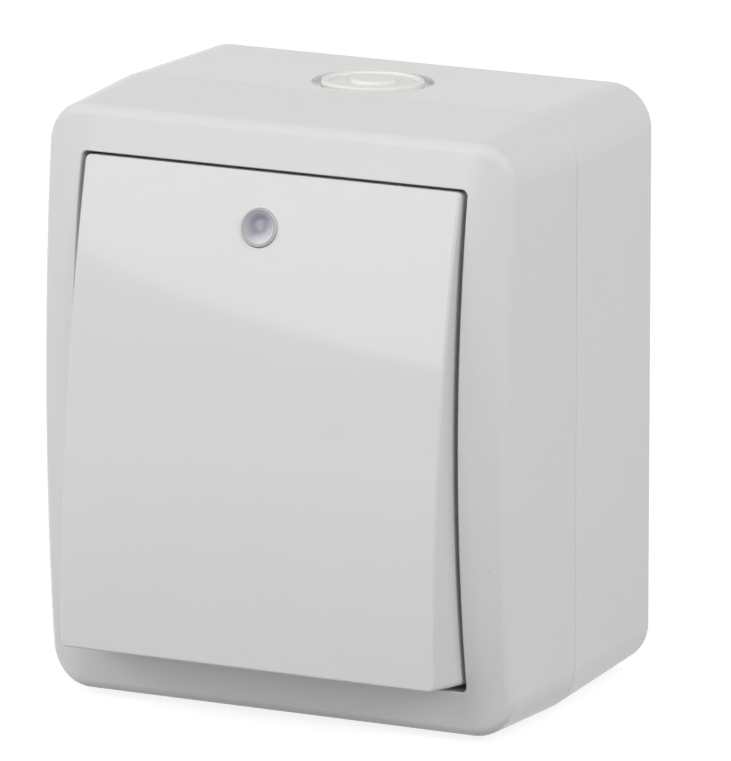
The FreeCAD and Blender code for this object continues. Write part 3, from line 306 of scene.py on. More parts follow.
@dataclass(frozen=True)
class Moulding:
    """A moulded plastic: its gloss, the faint ripple of its skin, and a few specks."""

    name: str
    colour: Colour
    roughness: float
    index: float = 1.5
    cloud_size: float = 16.0
    mottling: float = 0.012
    gloss_start: float = 0.9
    gloss_spread: float = 0.16
    ripple: float = 0.003
    ripple_size: float = 9.0
    grain: float = 0.0002
    grain_size: float = 0.15
    grain_gloss: float = 0.01
    speck_spacing: float = 15.0
    speck_radius: float = 0.16
    speck_core: float = 0.4
    speck_depth: float = 0.3
    speck_shade: float = 0.3

    def material(self) -> bpy.types.Material:
        """Make the material.

        Returns:
            The material, with its nodes.
        """
        made, bench = new_material(self.name)
        cloud = bench.noise(self.cloud_size * MILLIMETRE, 3.0)
        ripple = bench.noise(self.ripple_size * MILLIMETRE, 1.0)
        grain = bench.noise(self.grain_size * MILLIMETRE, 1.0)
        edge = self.speck_radius / self.speck_spacing
        core = edge * self.speck_core
        speck = 1.0 - bench.cells(self.speck_spacing * MILLIMETRE).above(core, edge - core)
        tint = bench.mixed(cloud, scaled(self.colour, 1 - self.mottling),
                           scaled(self.colour, 1 + self.mottling))
        colour = bench.mixed(speck * self.speck_depth, tint, scaled(self.colour, self.speck_shade))
        roughness = self.roughness * (self.gloss_start + cloud * self.gloss_spread)
        roughness = roughness + grain * self.grain_gloss
        height = ripple * self.ripple + grain * self.grain
        bench.principled(Base_Color=colour, Roughness=roughness, IOR=self.index,
                         Normal=bench.bump(height, MILLIMETRE))
        return made


@dataclass(frozen=True)
class SoftMoulding:
    """A soft, faintly waxy plastic or rubber with a fine matt skin."""

    name: str
    colour: Colour
    roughness: float
    index: float = 1.45
    cloud_size: float = 3.0
    bloom: float = 0.04
    grain: float = 0.004
    grain_size: float = 0.2
    grain_gloss: float = 0.08

    def material(self) -> bpy.types.Material:
        """Make the material.

        Returns:
            The material, with its nodes.
        """
        made, bench = new_material(self.name)
        cloud = bench.noise(self.cloud_size * MILLIMETRE, 3.0)
        skin = bench.noise(self.grain_size * MILLIMETRE, 2.0)
        colour = bench.mixed(cloud, scaled(self.colour, 1 - self.bloom),
                             scaled(self.colour, 1 + self.bloom))
        bench.principled(Base_Color=colour, Roughness=self.roughness + skin * self.grain_gloss,
                         IOR=self.index, Normal=bench.bump(skin, self.grain * MILLIMETRE))
        return made


@dataclass(frozen=True)
class Metal:
    """A bare or plated metal with a faint directional grain and dull stains."""

    name: str
    colour: Colour
    roughness: float
    grain: float = 0.02
    grain_size: float = 0.15
    stretch: Triple = (1.0, 1.0, 12.0)
    line_share: float = 0.2
    line_gloss: float = 0.08
    stain_size: float = 4.0
    stain_share: float = 0.6
    stain_shade: float = 0.82
    stain_gloss: float = 0.1

    def material(self) -> bpy.types.Material:
        """Make the material.

        Returns:
            The material, with its nodes.
        """
        made, bench = new_material(self.name)
        stain = bench.noise(self.stain_size * MILLIMETRE, 3.0)
        lines = bench.noise(self.grain_size * MILLIMETRE, 2.0, self.stretch)
        colour = bench.mixed(stain * self.stain_share + lines * self.line_share, self.colour,
                             scaled(self.colour, self.stain_shade))
        roughness = self.roughness + stain * self.stain_gloss + lines * self.line_gloss
        bench.principled(Base_Color=colour, Roughness=roughness, Metallic=1.0,
                         Normal=bench.bump(lines, self.grain * MILLIMETRE))
        return made


@dataclass(frozen=True)
class Glass:
    """A clear glass or plastic, through which what lies behind shows."""

    name: str
    colour: Colour
    roughness: float
    transmission: float
    index: float = 1.49
    cloud_size: float = 1.2
    cloud_shade: float = 0.92
    cloud_gloss: float = 0.03
    ripple: float = 0.002

    def material(self) -> bpy.types.Material:
        """Make the material.

        Returns:
            The material, with its nodes.
        """
        made, bench = new_material(self.name)
        cloud = bench.noise(self.cloud_size * MILLIMETRE, 2.0)
        colour = bench.mixed(cloud, self.colour, scaled(self.colour, self.cloud_shade))
        bench.principled(Base_Color=colour, Roughness=self.roughness + cloud * self.cloud_gloss,
                         IOR=self.index, Transmission_Weight=self.transmission,
                         Normal=bench.bump(cloud, self.ripple * MILLIMETRE))
        return made


@dataclass(frozen=True)
class LensTintAndPaintedLight:
    """The lens's clear plastic: violet over its bowl with painted shade, paler at the middle, and
    with painted light at one side.
    """

    name: str
    centre: Triple
    # centre of the painted shade in the bowl
    painted_shade_centre: Triple
    axis: Triple
    radius: float
    roughness: float = 0.07
    index: float = 1.55
    cloud_size: float = 0.8
    cloud_share: float = 0.12
    cloud_colour: Colour = grey(0.8)
    cloud_gloss: float = 0.03
    ripple: float = 0.003
    bowl_share: float = 0.8
    bowl_edge: float = 0.05
    collar: Colour = (0.42, 0.42, 0.44)
    rim_share: float = 0.95
    rim_edge: float = 0.02
    rim: Colour = (0.60, 0.60, 0.61)
    # painted light: the colour that the bowl turns to on its lower right side, as if light fell
    # there
    painted_light: Colour = (0.74, 0.73, 0.77)
    painted_light_side: Triple = (0.62, 0.0, -0.72)
    painted_light_slope: float = 1.3
    # violet of the bowl, with painted shade: it darkens in a ring round the painted shade's centre
    stops: tuple[tuple[float, Colour], ...] = (
        (0.0, (0.37, 0.36, 0.45)),
        (0.2, (0.36, 0.35, 0.43)),
        (0.33, (0.26, 0.25, 0.32)),
        (0.48, (0.29, 0.28, 0.34)),
        (0.66, (0.39, 0.38, 0.43)),
        (0.84, (0.44, 0.44, 0.47)),
    )

    def material(self) -> bpy.types.Material:
        """Make the material.

        Returns:
            The material, with its nodes.
        """
        made, bench = new_material(self.name)
        reach = self.radius * MILLIMETRE
        # painted shade: distance from the painted shade's centre, which the ramp turns into violet
        # that darkens in a ring
        share = bench.off_axis(self.painted_shade_centre, self.axis) / reach
        ring = bench.off_axis(self.centre, self.axis) / reach
        cloud = bench.noise(self.cloud_size * MILLIMETRE, 2.0)
        bowl = bench.mixed(cloud * self.cloud_share, bench.ramp(share.clamped(), self.stops),
                           self.cloud_colour)
        # painted light: the bowl grows paler towards its lower right side
        offset = bench.vector("SUBTRACT", bench.place(), self.centre)
        painted_light_share = bench.vector("DOT_PRODUCT", offset, self.painted_light_side, output="Value") / reach
        bowl = bench.mixed((painted_light_share * self.painted_light_slope).clamped(), bowl, self.painted_light)
        collar = bench.mixed(ring.above(self.rim_share, self.rim_edge), self.collar, self.rim)
        colour = bench.mixed(ring.above(self.bowl_share, self.bowl_edge), bowl, collar)
        bench.principled(Base_Color=colour, Roughness=self.roughness + cloud * self.cloud_gloss,
                         IOR=self.index, Normal=bench.bump(cloud, self.ripple * MILLIMETRE))
        return made


@dataclass(frozen=True)
class BandedLacquer:
    """The resistor's lacquer, with its coloured bands."""

    name: str
    centre: Triple
    half_length: float
    lacquer: Colour = (0.50, 0.36, 0.20)
    bands: tuple[tuple[float, Colour], ...] = (
        (0.20, (0.55, 0.30, 0.05)),
        (0.36, (0.04, 0.04, 0.04)),
        (0.52, (0.62, 0.50, 0.06)),
        (0.76, (0.55, 0.40, 0.12)),
    )
    band_width: float = 0.08
    band_edge: float = 0.01
    roughness: float = 0.28
    skin_size: float = 0.5
    skin_share: float = 0.15
    skin_gloss: float = 0.1
    skin_depth: float = 0.02

    def material(self) -> bpy.types.Material:
        """Make the material.

        Returns:
            The material, with its nodes.
        """
        made, bench = new_material(self.name)
        reach = bench.vector("SUBTRACT", bench.place(), self.centre)
        along = bench.vector("DOT_PRODUCT", reach, (1.0, 0.0, 0.0), output="Value")
        share = along / (2 * self.half_length * MILLIMETRE) + 0.5
        skin = bench.noise(self.skin_size * MILLIMETRE, 2.0)
        stops: list[tuple[float, Colour]] = [(0.0, self.lacquer)]
        for start, tint in self.bands:
            end = start + self.band_width
            stops += [(start - self.band_edge, self.lacquer), (start, tint), (end, tint),
                      (end + self.band_edge, self.lacquer)]
        colour = bench.mixed(skin * self.skin_share, bench.ramp(share.clamped(), stops),
                             self.lacquer)
        bench.principled(Base_Color=colour, Roughness=self.roughness + skin * self.skin_gloss,
                         Normal=bench.bump(skin, self.skin_depth * MILLIMETRE))
        return made


@dataclass(frozen=True)
class FibreBoard:
    """The lamp board's pressed fibre, with its faint weave."""

    name: str
    colour: Colour = (0.26, 0.17, 0.07)
    roughness: float = 0.42
    thread: float = 0.35
    thread_length: float = 6.0
    dark_share: float = 0.8
    light_share: float = 1.3
    weave_gloss: float = 0.15
    weave_depth: float = 0.02

    def material(self) -> bpy.types.Material:
        """Make the material.

        Returns:
            The material, with its nodes.
        """
        made, bench = new_material(self.name)
        across = bench.noise(self.thread * MILLIMETRE, 1.0, (self.thread_length, 1.0, 1.0))
        along = bench.noise(self.thread * MILLIMETRE, 1.0, (1.0, 1.0, self.thread_length))
        weave = across * 0.5 + along * 0.5
        colour = bench.mixed(weave, scaled(self.colour, self.dark_share),
                             scaled(self.colour, self.light_share))
        bench.principled(Base_Color=colour, Roughness=self.roughness + weave * self.weave_gloss,
                         Normal=bench.bump(weave, self.weave_depth * MILLIMETRE))
        return made


Finish = Union[Moulding, SoftMoulding, Metal, Glass, LensTintAndPaintedLight, BandedLacquer, FibreBoard]

WHITE_HOUSING = Moulding("white_housing", grey(0.70), 0.24)
WHITE_KEY = Moulding("white_key", grey(0.70), 0.05, ripple=0.002)
SOFT_ENTRY = SoftMoulding("soft_entry", grey(0.82, 0.04), 0.42)
SEAM_SHADE = Moulding("seam_shade", grey(0.62), 0.4)
DARK_SEAL = SoftMoulding("dark_seal", grey(0.05), 0.6, bloom=0.12)
LIGHT_INSULATION = Moulding("light_insulation", grey(0.55, 0.04), 0.42, grain=0.002)
ZINC = Metal("zinc_plate", grey(0.62), 0.32)
SCREW_ZINC = Metal("screw_zinc", grey(0.66), 0.25)
BRASS = Metal("bright_brass", (0.80, 0.58, 0.26), 0.24)
SILVER = Metal("contact_silver", grey(0.82), 0.18)
SOLDER = Metal("solder", grey(0.60), 0.3, grain=0.005, stretch=(1.0, 1.0, 1.0))
COPPER = Metal("track_copper", (0.72, 0.36, 0.20), 0.3)
CLEAR_LENS = Glass("clear_lens", (0.62, 0.60, 0.70), 0.06, 0.35)
LAMP_GLASS = Glass("lamp_glass", (0.95, 0.93, 0.91), 0.03, 0.95)
BOARD_FIBRE = FibreBoard("board_fibre")
PLAIN_LACQUER = Moulding("tan_lacquer", (0.48, 0.33, 0.18), 0.35)

SLOT_FINISHES: dict[Slot, Finish] = {
    Slot.HOUSING: WHITE_HOUSING,
    Slot.KEY: WHITE_KEY,
    Slot.GROMMET: SOFT_ENTRY,
    Slot.LENS: CLEAR_LENS,
    Slot.SEAL: DARK_SEAL,
    Slot.INSULATION: LIGHT_INSULATION,
    Slot.STEEL: ZINC,
    Slot.SCREW: SCREW_ZINC,
    Slot.BRASS: BRASS,
    Slot.CONTACT: SILVER,
    Slot.GLASS: LAMP_GLASS,
    Slot.BOARD: BOARD_FIBRE,
    Slot.RESISTOR: PLAIN_LACQUER,
}


def middle(node: str) -> Vector:
    """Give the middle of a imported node's box, in metres."""
    low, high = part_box(node)
    return (low + high) / 2


def join_rings(mesh: bmesh.types.BMesh, rings: Sequence[Sequence[bmesh.types.BMVert]],
               closed: bool = True) -> bmesh.types.BMesh:
    """Join each ring of corners to the next one with faces.

    Args:
        mesh: The mesh that the corners belong to.
        rings: Rings with as many corners each; a ring that is a point repeats its corner.
        closed: Whether the first and the last ring get a face of their own.

    Returns:
        The mesh.
    """
    for lower, upper in zip(rings, rings[1:]):
        for step in range(len(lower)):
            ahead = (step + 1) % len(lower)
            corners = (lower[step], lower[ahead], upper[ahead], upper[step])
            mesh.faces.new(list(dict.fromkeys(corners)))
    if closed:
        mesh.faces.new(rings[0][::-1])
        mesh.faces.new(rings[-1])
    return mesh


def turned(profile: Profile, segments: int) -> bmesh.types.BMesh:
    """Turn a profile about the upright axis.

    Args:
        profile: Radii and heights in millimetres, from the lower end to the upper one.
        segments: How many steps go round.

    Returns:
        The mesh, in millimetres, open at an end whose radius isn't 0.
    """
    mesh = bmesh.new()
    rings = []
    for radius, height in profile:
        if radius == 0.0:
            rings.append([mesh.verts.new((0.0, 0.0, height))] * segments)
            continue
        rings.append([mesh.verts.new((radius * math.cos(turn), radius * math.sin(turn), height))
                      for turn in (2 * math.pi * step / segments for step in range(segments))])
    return join_rings(mesh, rings, closed=False)


def tube(path: Sequence[Vector], radius: float, segments: int) -> bmesh.types.BMesh:
    """Lay a round wire along a path.

    Args:
        path: The wire's points in millimetres.
        radius: Its radius in millimetres.
        segments: How many steps go round it.

    Returns:
        The mesh, in millimetres, closed at both ends.
    """
    mesh = bmesh.new()
    rings = []
    for index, point in enumerate(path):
        before, after = path[max(index - 1, 0)], path[min(index + 1, len(path) - 1)]
        turn = (after - before).to_track_quat("Z", "Y").to_matrix()
        rings.append([mesh.verts.new(point + turn @ Vector((radius * math.cos(angle),
                                                            radius * math.sin(angle), 0.0)))
                      for angle in (2 * math.pi * step / segments for step in range(segments))])
    return join_rings(mesh, rings)


def set_up(name: str, mesh: bmesh.types.BMesh, stand: Matrix, material: bpy.types.Material,
           body: Body, smoothing: int = 0) -> bpy.types.Object:
    """Turn a mesh into a piece of the switch.

    Args:
        name: The piece's name.
        mesh: Its mesh, in millimetres.
        stand: What carries the mesh's own frame, in millimetres, into the switch's frame.
        material: Its material.
        body: The body that it rides on.
        smoothing: How many times its surface is subdivided.

    Returns:
        The piece.
    """
    mesh.transform(Matrix.Scale(MILLIMETRE, 4) @ stand)
    bmesh.ops.recalc_face_normals(mesh, faces=mesh.faces)
    data = bpy.data.meshes.new(name)
    mesh.to_mesh(data)
    mesh.free()
    data.shade_smooth()
    data.materials.append(material)
    piece = bpy.data.objects.new(name, data)
    bpy.context.scene.collection.objects.link(piece)
    if smoothing:
        modifier = piece.modifiers.new("smooth", "SUBSURF")
        modifier.levels = modifier.render_levels = smoothing
    else:
        data.set_sharp_from_angle(angle=SHARP_ANGLE)
    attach(piece, body.value)
    LOG.info("built %s on the %s", name, body.value)
    return piece


def facing(centre: Vector, axis: Vector) -> Matrix:
    """Give the stand that puts a form's origin at a centre and its upright axis along an axis."""
    return Matrix.Translation(centre) @ axis.to_track_quat("Z", "Y").to_matrix().to_4x4()


@dataclass
class Mechanism:
    """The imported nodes, each dressed in the finish of its material slot."""

    finishes: dict[Slot, Finish] = field(default_factory=lambda: dict(SLOT_FINISHES))

    def dress(self) -> None:
        """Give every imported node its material."""
        materials = {slot: finish.material() for slot, finish in self.finishes.items()}
        for part in frame["record"]["subparts"]:
            material = materials[Slot(part["material_slot"])]
            data = frame["nodes"][part["node"]].data
            data.materials.clear()
            data.materials.append(material)
            LOG.info("dressed %s in %s", part["node"], material.name)


@dataclass
class IndicatorLens:
    """The lens of the key: a collar that stands a little proud, a deep bowl and a soft bump."""

    tilt: float = 13.02
    lip: float = 0.12
    rim_depth: float = 0.02
    radius: float = 2.46
    edge: float = 0.05
    collar_rise: float = 0.28
    collar_width: float = 0.34
    collar_round: float = 0.16
    bowl_radius: float = 1.98
    bowl_depth: float = 0.55
    bowl_lip: float = 0.1
    bowl_softness: float = 0.4
    bowl_steps: int = 5
    # moves the bowl's painted shade up and to the left of the lens's middle
    painted_shade_shift: Triple = (-0.18, 0.0, 0.2)
    bump_radius: float = 0.72
    bump_rise: float = 0.28
    bump_foot: float = 1.5
    bump: Profile = ((1.0, 0.1), (0.6, 0.75), (0.25, 1.0), (0.0, 1.0))
    wall: float = 1.9
    flange_radius: float = 3.2
    flange_width: float = 0.75
    stem_radius: float = 1.55
    stem_length: float = 1.5
    segments: int = 40

    def axis(self) -> Vector:
        """Give the direction in which the lens faces at rest."""
        turn = math.radians(self.tilt)
        return Vector((0.0, -math.cos(turn), math.sin(turn)))

    def centre(self) -> Vector:
        """Find the middle of the lens on the key's face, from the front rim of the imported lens.

        Returns:
            The point, in millimetres.
        """
        axis = self.axis()
        vertices = frame["nodes"]["indicator_lens"].data.vertices
        points = [vertex.co / MILLIMETRE for vertex in vertices]
        front = max(point.dot(axis) for point in points)
        around = middle("indicator_lens") / MILLIMETRE
        rim = [point for point in points if point.dot(axis) > front - self.rim_depth]
        across = Vector((around.x, sum(point.y for point in rim) / len(rim),
                         sum(point.z for point in rim) / len(rim)))
        return across - axis * self.lip

    def profile(self) -> list[tuple[float, float]]:
        """Draw the lens's outline, from its stem round the front to the middle of its bowl.

        Returns:
            Radii and heights over the key's face, in millimetres.
        """
        rear = -(self.wall + self.flange_width)
        rise, inner = self.collar_rise, self.radius - self.collar_width
        outline = [
            (0.0, rear - self.stem_length),
            (self.stem_radius * 0.8, rear - self.stem_length),
            (self.stem_radius, rear - self.stem_length * 0.85),
            (self.stem_radius, rear - self.edge),
            (self.stem_radius, rear),
            (self.flange_radius - self.edge, rear),
            (self.flange_radius, rear + self.edge),
            (self.flange_radius, -self.wall - self.edge),
            (self.flange_radius - self.edge, -self.wall),
            (self.radius, -self.wall),
            (self.radius, -self.wall + self.edge),
            (self.radius, rise - self.collar_round),
            (self.radius - self.edge, rise - self.collar_round / 4),
            (self.radius - self.edge * 3, rise),
            (inner + self.edge * 0.4, rise - self.collar_round / 4),
            (inner - self.edge * 0.8, rise - self.collar_round * 0.875),
            (self.bowl_radius, self.bowl_lip),
        ]
        floor = self.bump_radius * self.bump_foot
        for step in range(1, self.bowl_steps + 1):
            share = step / self.bowl_steps
            radius = self.bowl_radius + (floor - self.bowl_radius) * share
            curve = (1 - math.cos(share * math.pi)) / 2
            fall = self.bowl_softness * curve + (1 - self.bowl_softness) * share
            outline.append((radius, self.bowl_lip - (self.bowl_lip + self.bowl_depth) * fall))
        outline += [(self.bump_radius * share, -self.bowl_depth + self.bump_rise * height)
                    for share, height in self.bump]
        return outline

    def build(self) -> None:
        """Build the lens and dress it."""
        centre, axis = self.centre(), self.axis()
        # centre of the bowl's painted shade, moved up and to the left of the lens's middle
        painted_shade_centre = (centre + Vector(self.painted_shade_shift)) * MILLIMETRE
        finish = LensTintAndPaintedLight("lens_tint_and_painted_light", tuple(centre * MILLIMETRE), tuple(painted_shade_centre), tuple(axis),
                            self.radius)
        piece = set_up("lens_body", turned(self.profile(), self.segments), facing(centre, axis),
                       finish.material(), Body.KEY, smoothing=2)
        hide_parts("indicator_lens")


@dataclass
class GlowLamp:
    """The lamp behind the lens: a glass bulb with a sealed tip and two rod electrodes."""

    radius: float = 2.48
    foot_share: float = 0.6
    foot_round: float = 0.2
    foot_height: float = 0.35
    tip: Profile = ((1.0, 2.3), (0.95, 1.5), (0.75, 0.8), (0.45, 0.4), (0.2, 0.2), (0.1, 0.02))
    electrode_radius: float = 0.32
    electrode_gap: float = 1.3
    electrode_start: float = 0.3
    electrode_bend: tuple[float, float, float] = (1.0, 1.5, 2.0)
    electrode_end: float = 2.2
    electrode_segments: int = 16
    lead_pitch: float = 2.5
    segments: int = 32

    def build(self) -> None:
        """Build the bulb and its electrodes."""
        low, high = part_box("indicator_lamp")
        centre = middle("indicator_lamp") / MILLIMETRE
        length = (high.y - low.y) / MILLIMETRE
        foot = Vector((centre.x, high.y / MILLIMETRE, centre.z))
        outer = [(0.0, 0.0), (self.radius * self.foot_share, 0.0),
                 (self.radius - self.foot_round, self.foot_round / 4),
                 (self.radius, self.foot_height)]
        outer += [(self.radius * share, length - below) for share, below in self.tip]
        outer.append((0.0, length))
        stand = facing(foot, Vector((0.0, -1.0, 0.0)))
        bulb = set_up("lamp_bulb", turned(outer, self.segments), stand, LAMP_GLASS.material(),
                      Body.HOUSING, smoothing=1)
        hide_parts("indicator_lamp")
        steel = ZINC.material()
        for name, side in (("left", -1.0), ("right", 1.0)):
            near, far = side * self.lead_pitch / 2, side * self.electrode_gap / 2
            low_bend, bend, high_bend = self.electrode_bend
            path = [Vector((near, 0.0, self.electrode_start)), Vector((near, 0.0, low_bend)),
                    Vector(((near + far) / 2, 0.0, bend)), Vector((far, 0.0, high_bend)),
                    Vector((far, 0.0, length - self.electrode_end))]
            rod = tube(path, self.electrode_radius, self.electrode_segments)
            set_up(f"lamp_electrode_{name}", rod, stand, steel, Body.HOUSING)


@dataclass
class LampResistor:
    """The resistor behind the lamp's board, with its rounded ends."""

    waist: float = 0.85
    rounding: float = 0.35
    cap_length: float = 1.1
    shoulder: float = 0.6
    segments: int = 32

    def build(self) -> None:
        """Build the resistor's body."""
        low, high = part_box("lamp_resistor")
        centre = middle("lamp_resistor") / MILLIMETRE
        half = (high.x - low.x) / 2 / MILLIMETRE
        bulge = (high.z - low.z) / 2 / MILLIMETRE
        side = [(0.0, -half), (bulge - self.rounding, -half), (bulge, -half + self.rounding),
                (bulge, -half + self.cap_length),
                (self.waist, -half + self.cap_length + self.shoulder), (self.waist, 0.0)]
        outline = side + [(radius, -height) for radius, height in side[-2::-1]]
        finish = BandedLacquer("banded_lacquer", tuple(centre * MILLIMETRE), half)
        piece = set_up("resistor_body", turned(outline, self.segments),
                       facing(centre, Vector((1, 0, 0))), finish.material(), Body.HOUSING,
                       smoothing=2)
        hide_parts("lamp_resistor")


@dataclass
class BoardTracks:
    """The copper tracks and solder joints on the back of the lamp's board."""

    thickness: float = 0.035
    width: float = 1.4
    margin: float = 0.8
    inner_end: float = 0.7
    neck_start: float = 0.9
    neck_end: float = 1.6
    solder: Profile = ((0.75, 0.0), (0.5625, 0.135), (0.375, 0.3375), (0.1875, 0.45), (0.0, 0.45))
    solder_segments: int = 24
    pitch: float = 2.5

    def build(self) -> None:
        """Build a track and a solder joint at each of the lamp's legs."""
        low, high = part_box("lamp_board")
        legs = middle("lamp_leads") / MILLIMETRE
        back = high.y / MILLIMETRE
        copper, solder = COPPER.material(), SOLDER.material()
        for name, side in (("left", -1.0), ("right", 1.0)):
            leg = legs.x + side * self.pitch / 2
            edge = (low.x if side < 0 else high.x) / MILLIMETRE - side * self.margin
            lower = [(leg - side * self.inner_end, self.width / 2),
                     (leg + side * self.neck_start, self.width / 2),
                     (leg + side * self.neck_end, self.width), (edge, self.width)]
            corners = ([(x, legs.z - reach) for x, reach in lower]
                       + [(x, legs.z + reach) for x, reach in reversed(lower)])
            mesh = bmesh.new()
            rings = [[mesh.verts.new((x, depth, z)) for x, z in corners]
                     for depth in (back, back + self.thickness)]
            set_up(f"board_track_{name}", join_rings(mesh, rings), Matrix.Identity(4), copper,
                   Body.HOUSING)
            foot = Vector((leg, back + self.thickness, legs.z))
            set_up(f"solder_joint_{name}", turned(self.solder, self.solder_segments),
                   facing(foot, Vector((0, 1, 0))), solder, Body.HOUSING, smoothing=1)


@dataclass
class JointSeam:
    """The fine shaded line of the joint between the base and the front cover."""

    inset: float = 0.07
    depth: float = 23.8
    corner: float = 6.25
    radius: float = 0.05
    corner_steps: int = 12
    segments: int = 8

    def path(self) -> list[Vector]:
        """Lay the joint's line round the housing, with its rounded corners.

        Returns:
            The line's points in millimetres; the last one is the first again.
        """
        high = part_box("front_cover")[1] / MILLIMETRE
        across, up = high.x - self.inset, high.z - self.inset
        corner = self.corner - self.inset
        points = []
        for quarter, (side, end) in enumerate(((1, 1), (-1, 1), (-1, -1), (1, -1))):
            x, z = side * (across - corner), end * (up - corner)
            for step in range(self.corner_steps + 1):
                turn = math.pi / 2 * (quarter + step / self.corner_steps)
                points.append(Vector((x + corner * math.cos(turn), -self.depth,
                                      z + corner * math.sin(turn))))
        return points + points[:1]

    def build(self) -> None:
        """Build the line."""
        set_up("joint_seam", tube(self.path(), self.radius, self.segments), Matrix.Identity(4),
               SEAM_SHADE.material(), Body.HOUSING)


@dataclass
class ScrewThread:
    """The threads of one group of screws, as a ridge wound round each shank."""

    node: str
    head_radius: float
    head_height: float
    radius: float
    pitch: float
    ridge: float
    diagonal: bool
    steps: int = 24
    foot_share: float = 0.3
    foot_sink: float = 0.02
    thinnest: float = 0.05

    def axes(self) -> list[Vector]:
        """Find where the shank of each screw starts, under its head.

        Returns:
            The points, in millimetres.
        """
        low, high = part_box(self.node)
        across = (high.x - low.x) / 2 / MILLIMETRE - self.head_radius
        up = (high.z - low.z) / 2 / MILLIMETRE - self.head_radius if self.diagonal else 0.0
        depth = low.y / MILLIMETRE + self.head_height
        return [Vector((side * across, depth, side * up)) for side in (-1.0, 1.0)]

    def wound(self, length: float) -> bmesh.types.BMesh:
        """Wind the ridge round a shank.

        Args:
            length: The thread's length in millimetres.

        Returns:
            The mesh, in millimetres.
        """
        mesh = bmesh.new()
        half, foot = self.pitch * self.foot_share, self.radius - self.foot_sink
        rows = []
        for index in range(int(length / self.pitch * self.steps) + 1):
            turn = 2 * math.pi * index / self.steps
            height = self.pitch * index / self.steps
            taper = min(1.0, index / self.steps, (length - height) / self.pitch)
            crest = self.radius + self.ridge * max(taper, self.thinnest)
            rows.append([mesh.verts.new((radius * math.cos(turn), radius * math.sin(turn),
                                         height + offset))
                         for radius, offset in ((foot, -half), (crest, 0.0), (foot, half))])
        return join_rings(mesh, rows)

    def build(self) -> None:
        """Build the thread of each screw."""
        low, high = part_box(self.node)
        length = (high.y - low.y) / MILLIMETRE - self.head_height - 2 * self.pitch
        material = SCREW_ZINC.material()
        for name, under in zip(("left", "right"), self.axes()):
            start = under + Vector((0.0, self.pitch, 0.0))
            set_up(f"{self.node}_thread_{name}", self.wound(length),
                   facing(start, Vector((0, 1, 0))), material, Body.HOUSING)


SCREW_THREADS = (
    ScrewThread("cover_screws", head_radius=2.8, head_height=2.0, radius=1.7, pitch=1.3,
                ridge=0.3, diagonal=True),
    ScrewThread("support_screws", head_radius=2.8, head_height=2.0, radius=1.7, pitch=1.3,
                ridge=0.3, diagonal=False),
    ScrewThread("terminal_screws", head_radius=2.7, head_height=1.9, radius=1.5, pitch=0.5,
                ridge=0.12, diagonal=True),
)


@dataclass(frozen=True)
class Lamp:
    """A soft lamp: its place round the switch, its size in metres, and whether gloss mirrors it."""

    name: str
    azimuth: float
    elevation: float
    distance: float
    size: tuple[float, float]
    strength: float
    shape: LampShape = LampShape.BOX
    mirrored: bool = True


STUDIO_LAMPS = (
    Lamp("sweep_lamp", -20.0, 23.3, 0.9, (0.35, 0.655), 1.62, LampShape.OVAL),
    Lamp("left_lamp", -58.0, 15.0, 1.1, (0.7, 1.2), 3.45, mirrored=False),
    Lamp("upper_right_lamp", 67.0, 38.0, 1.1, (0.6, 0.6), 3.7, mirrored=False),
    Lamp("right_lamp", 65.0, 15.0, 1.1, (0.7, 0.7), 2.0, mirrored=False),
    Lamp("front_lamp", 30.0, 8.0, 1.1, (0.7, 0.5), 0.26, mirrored=False),
    Lamp("back_lamp", 180.0, 0.0, 1.1, (0.7, 0.6), 1.4, mirrored=False),
)


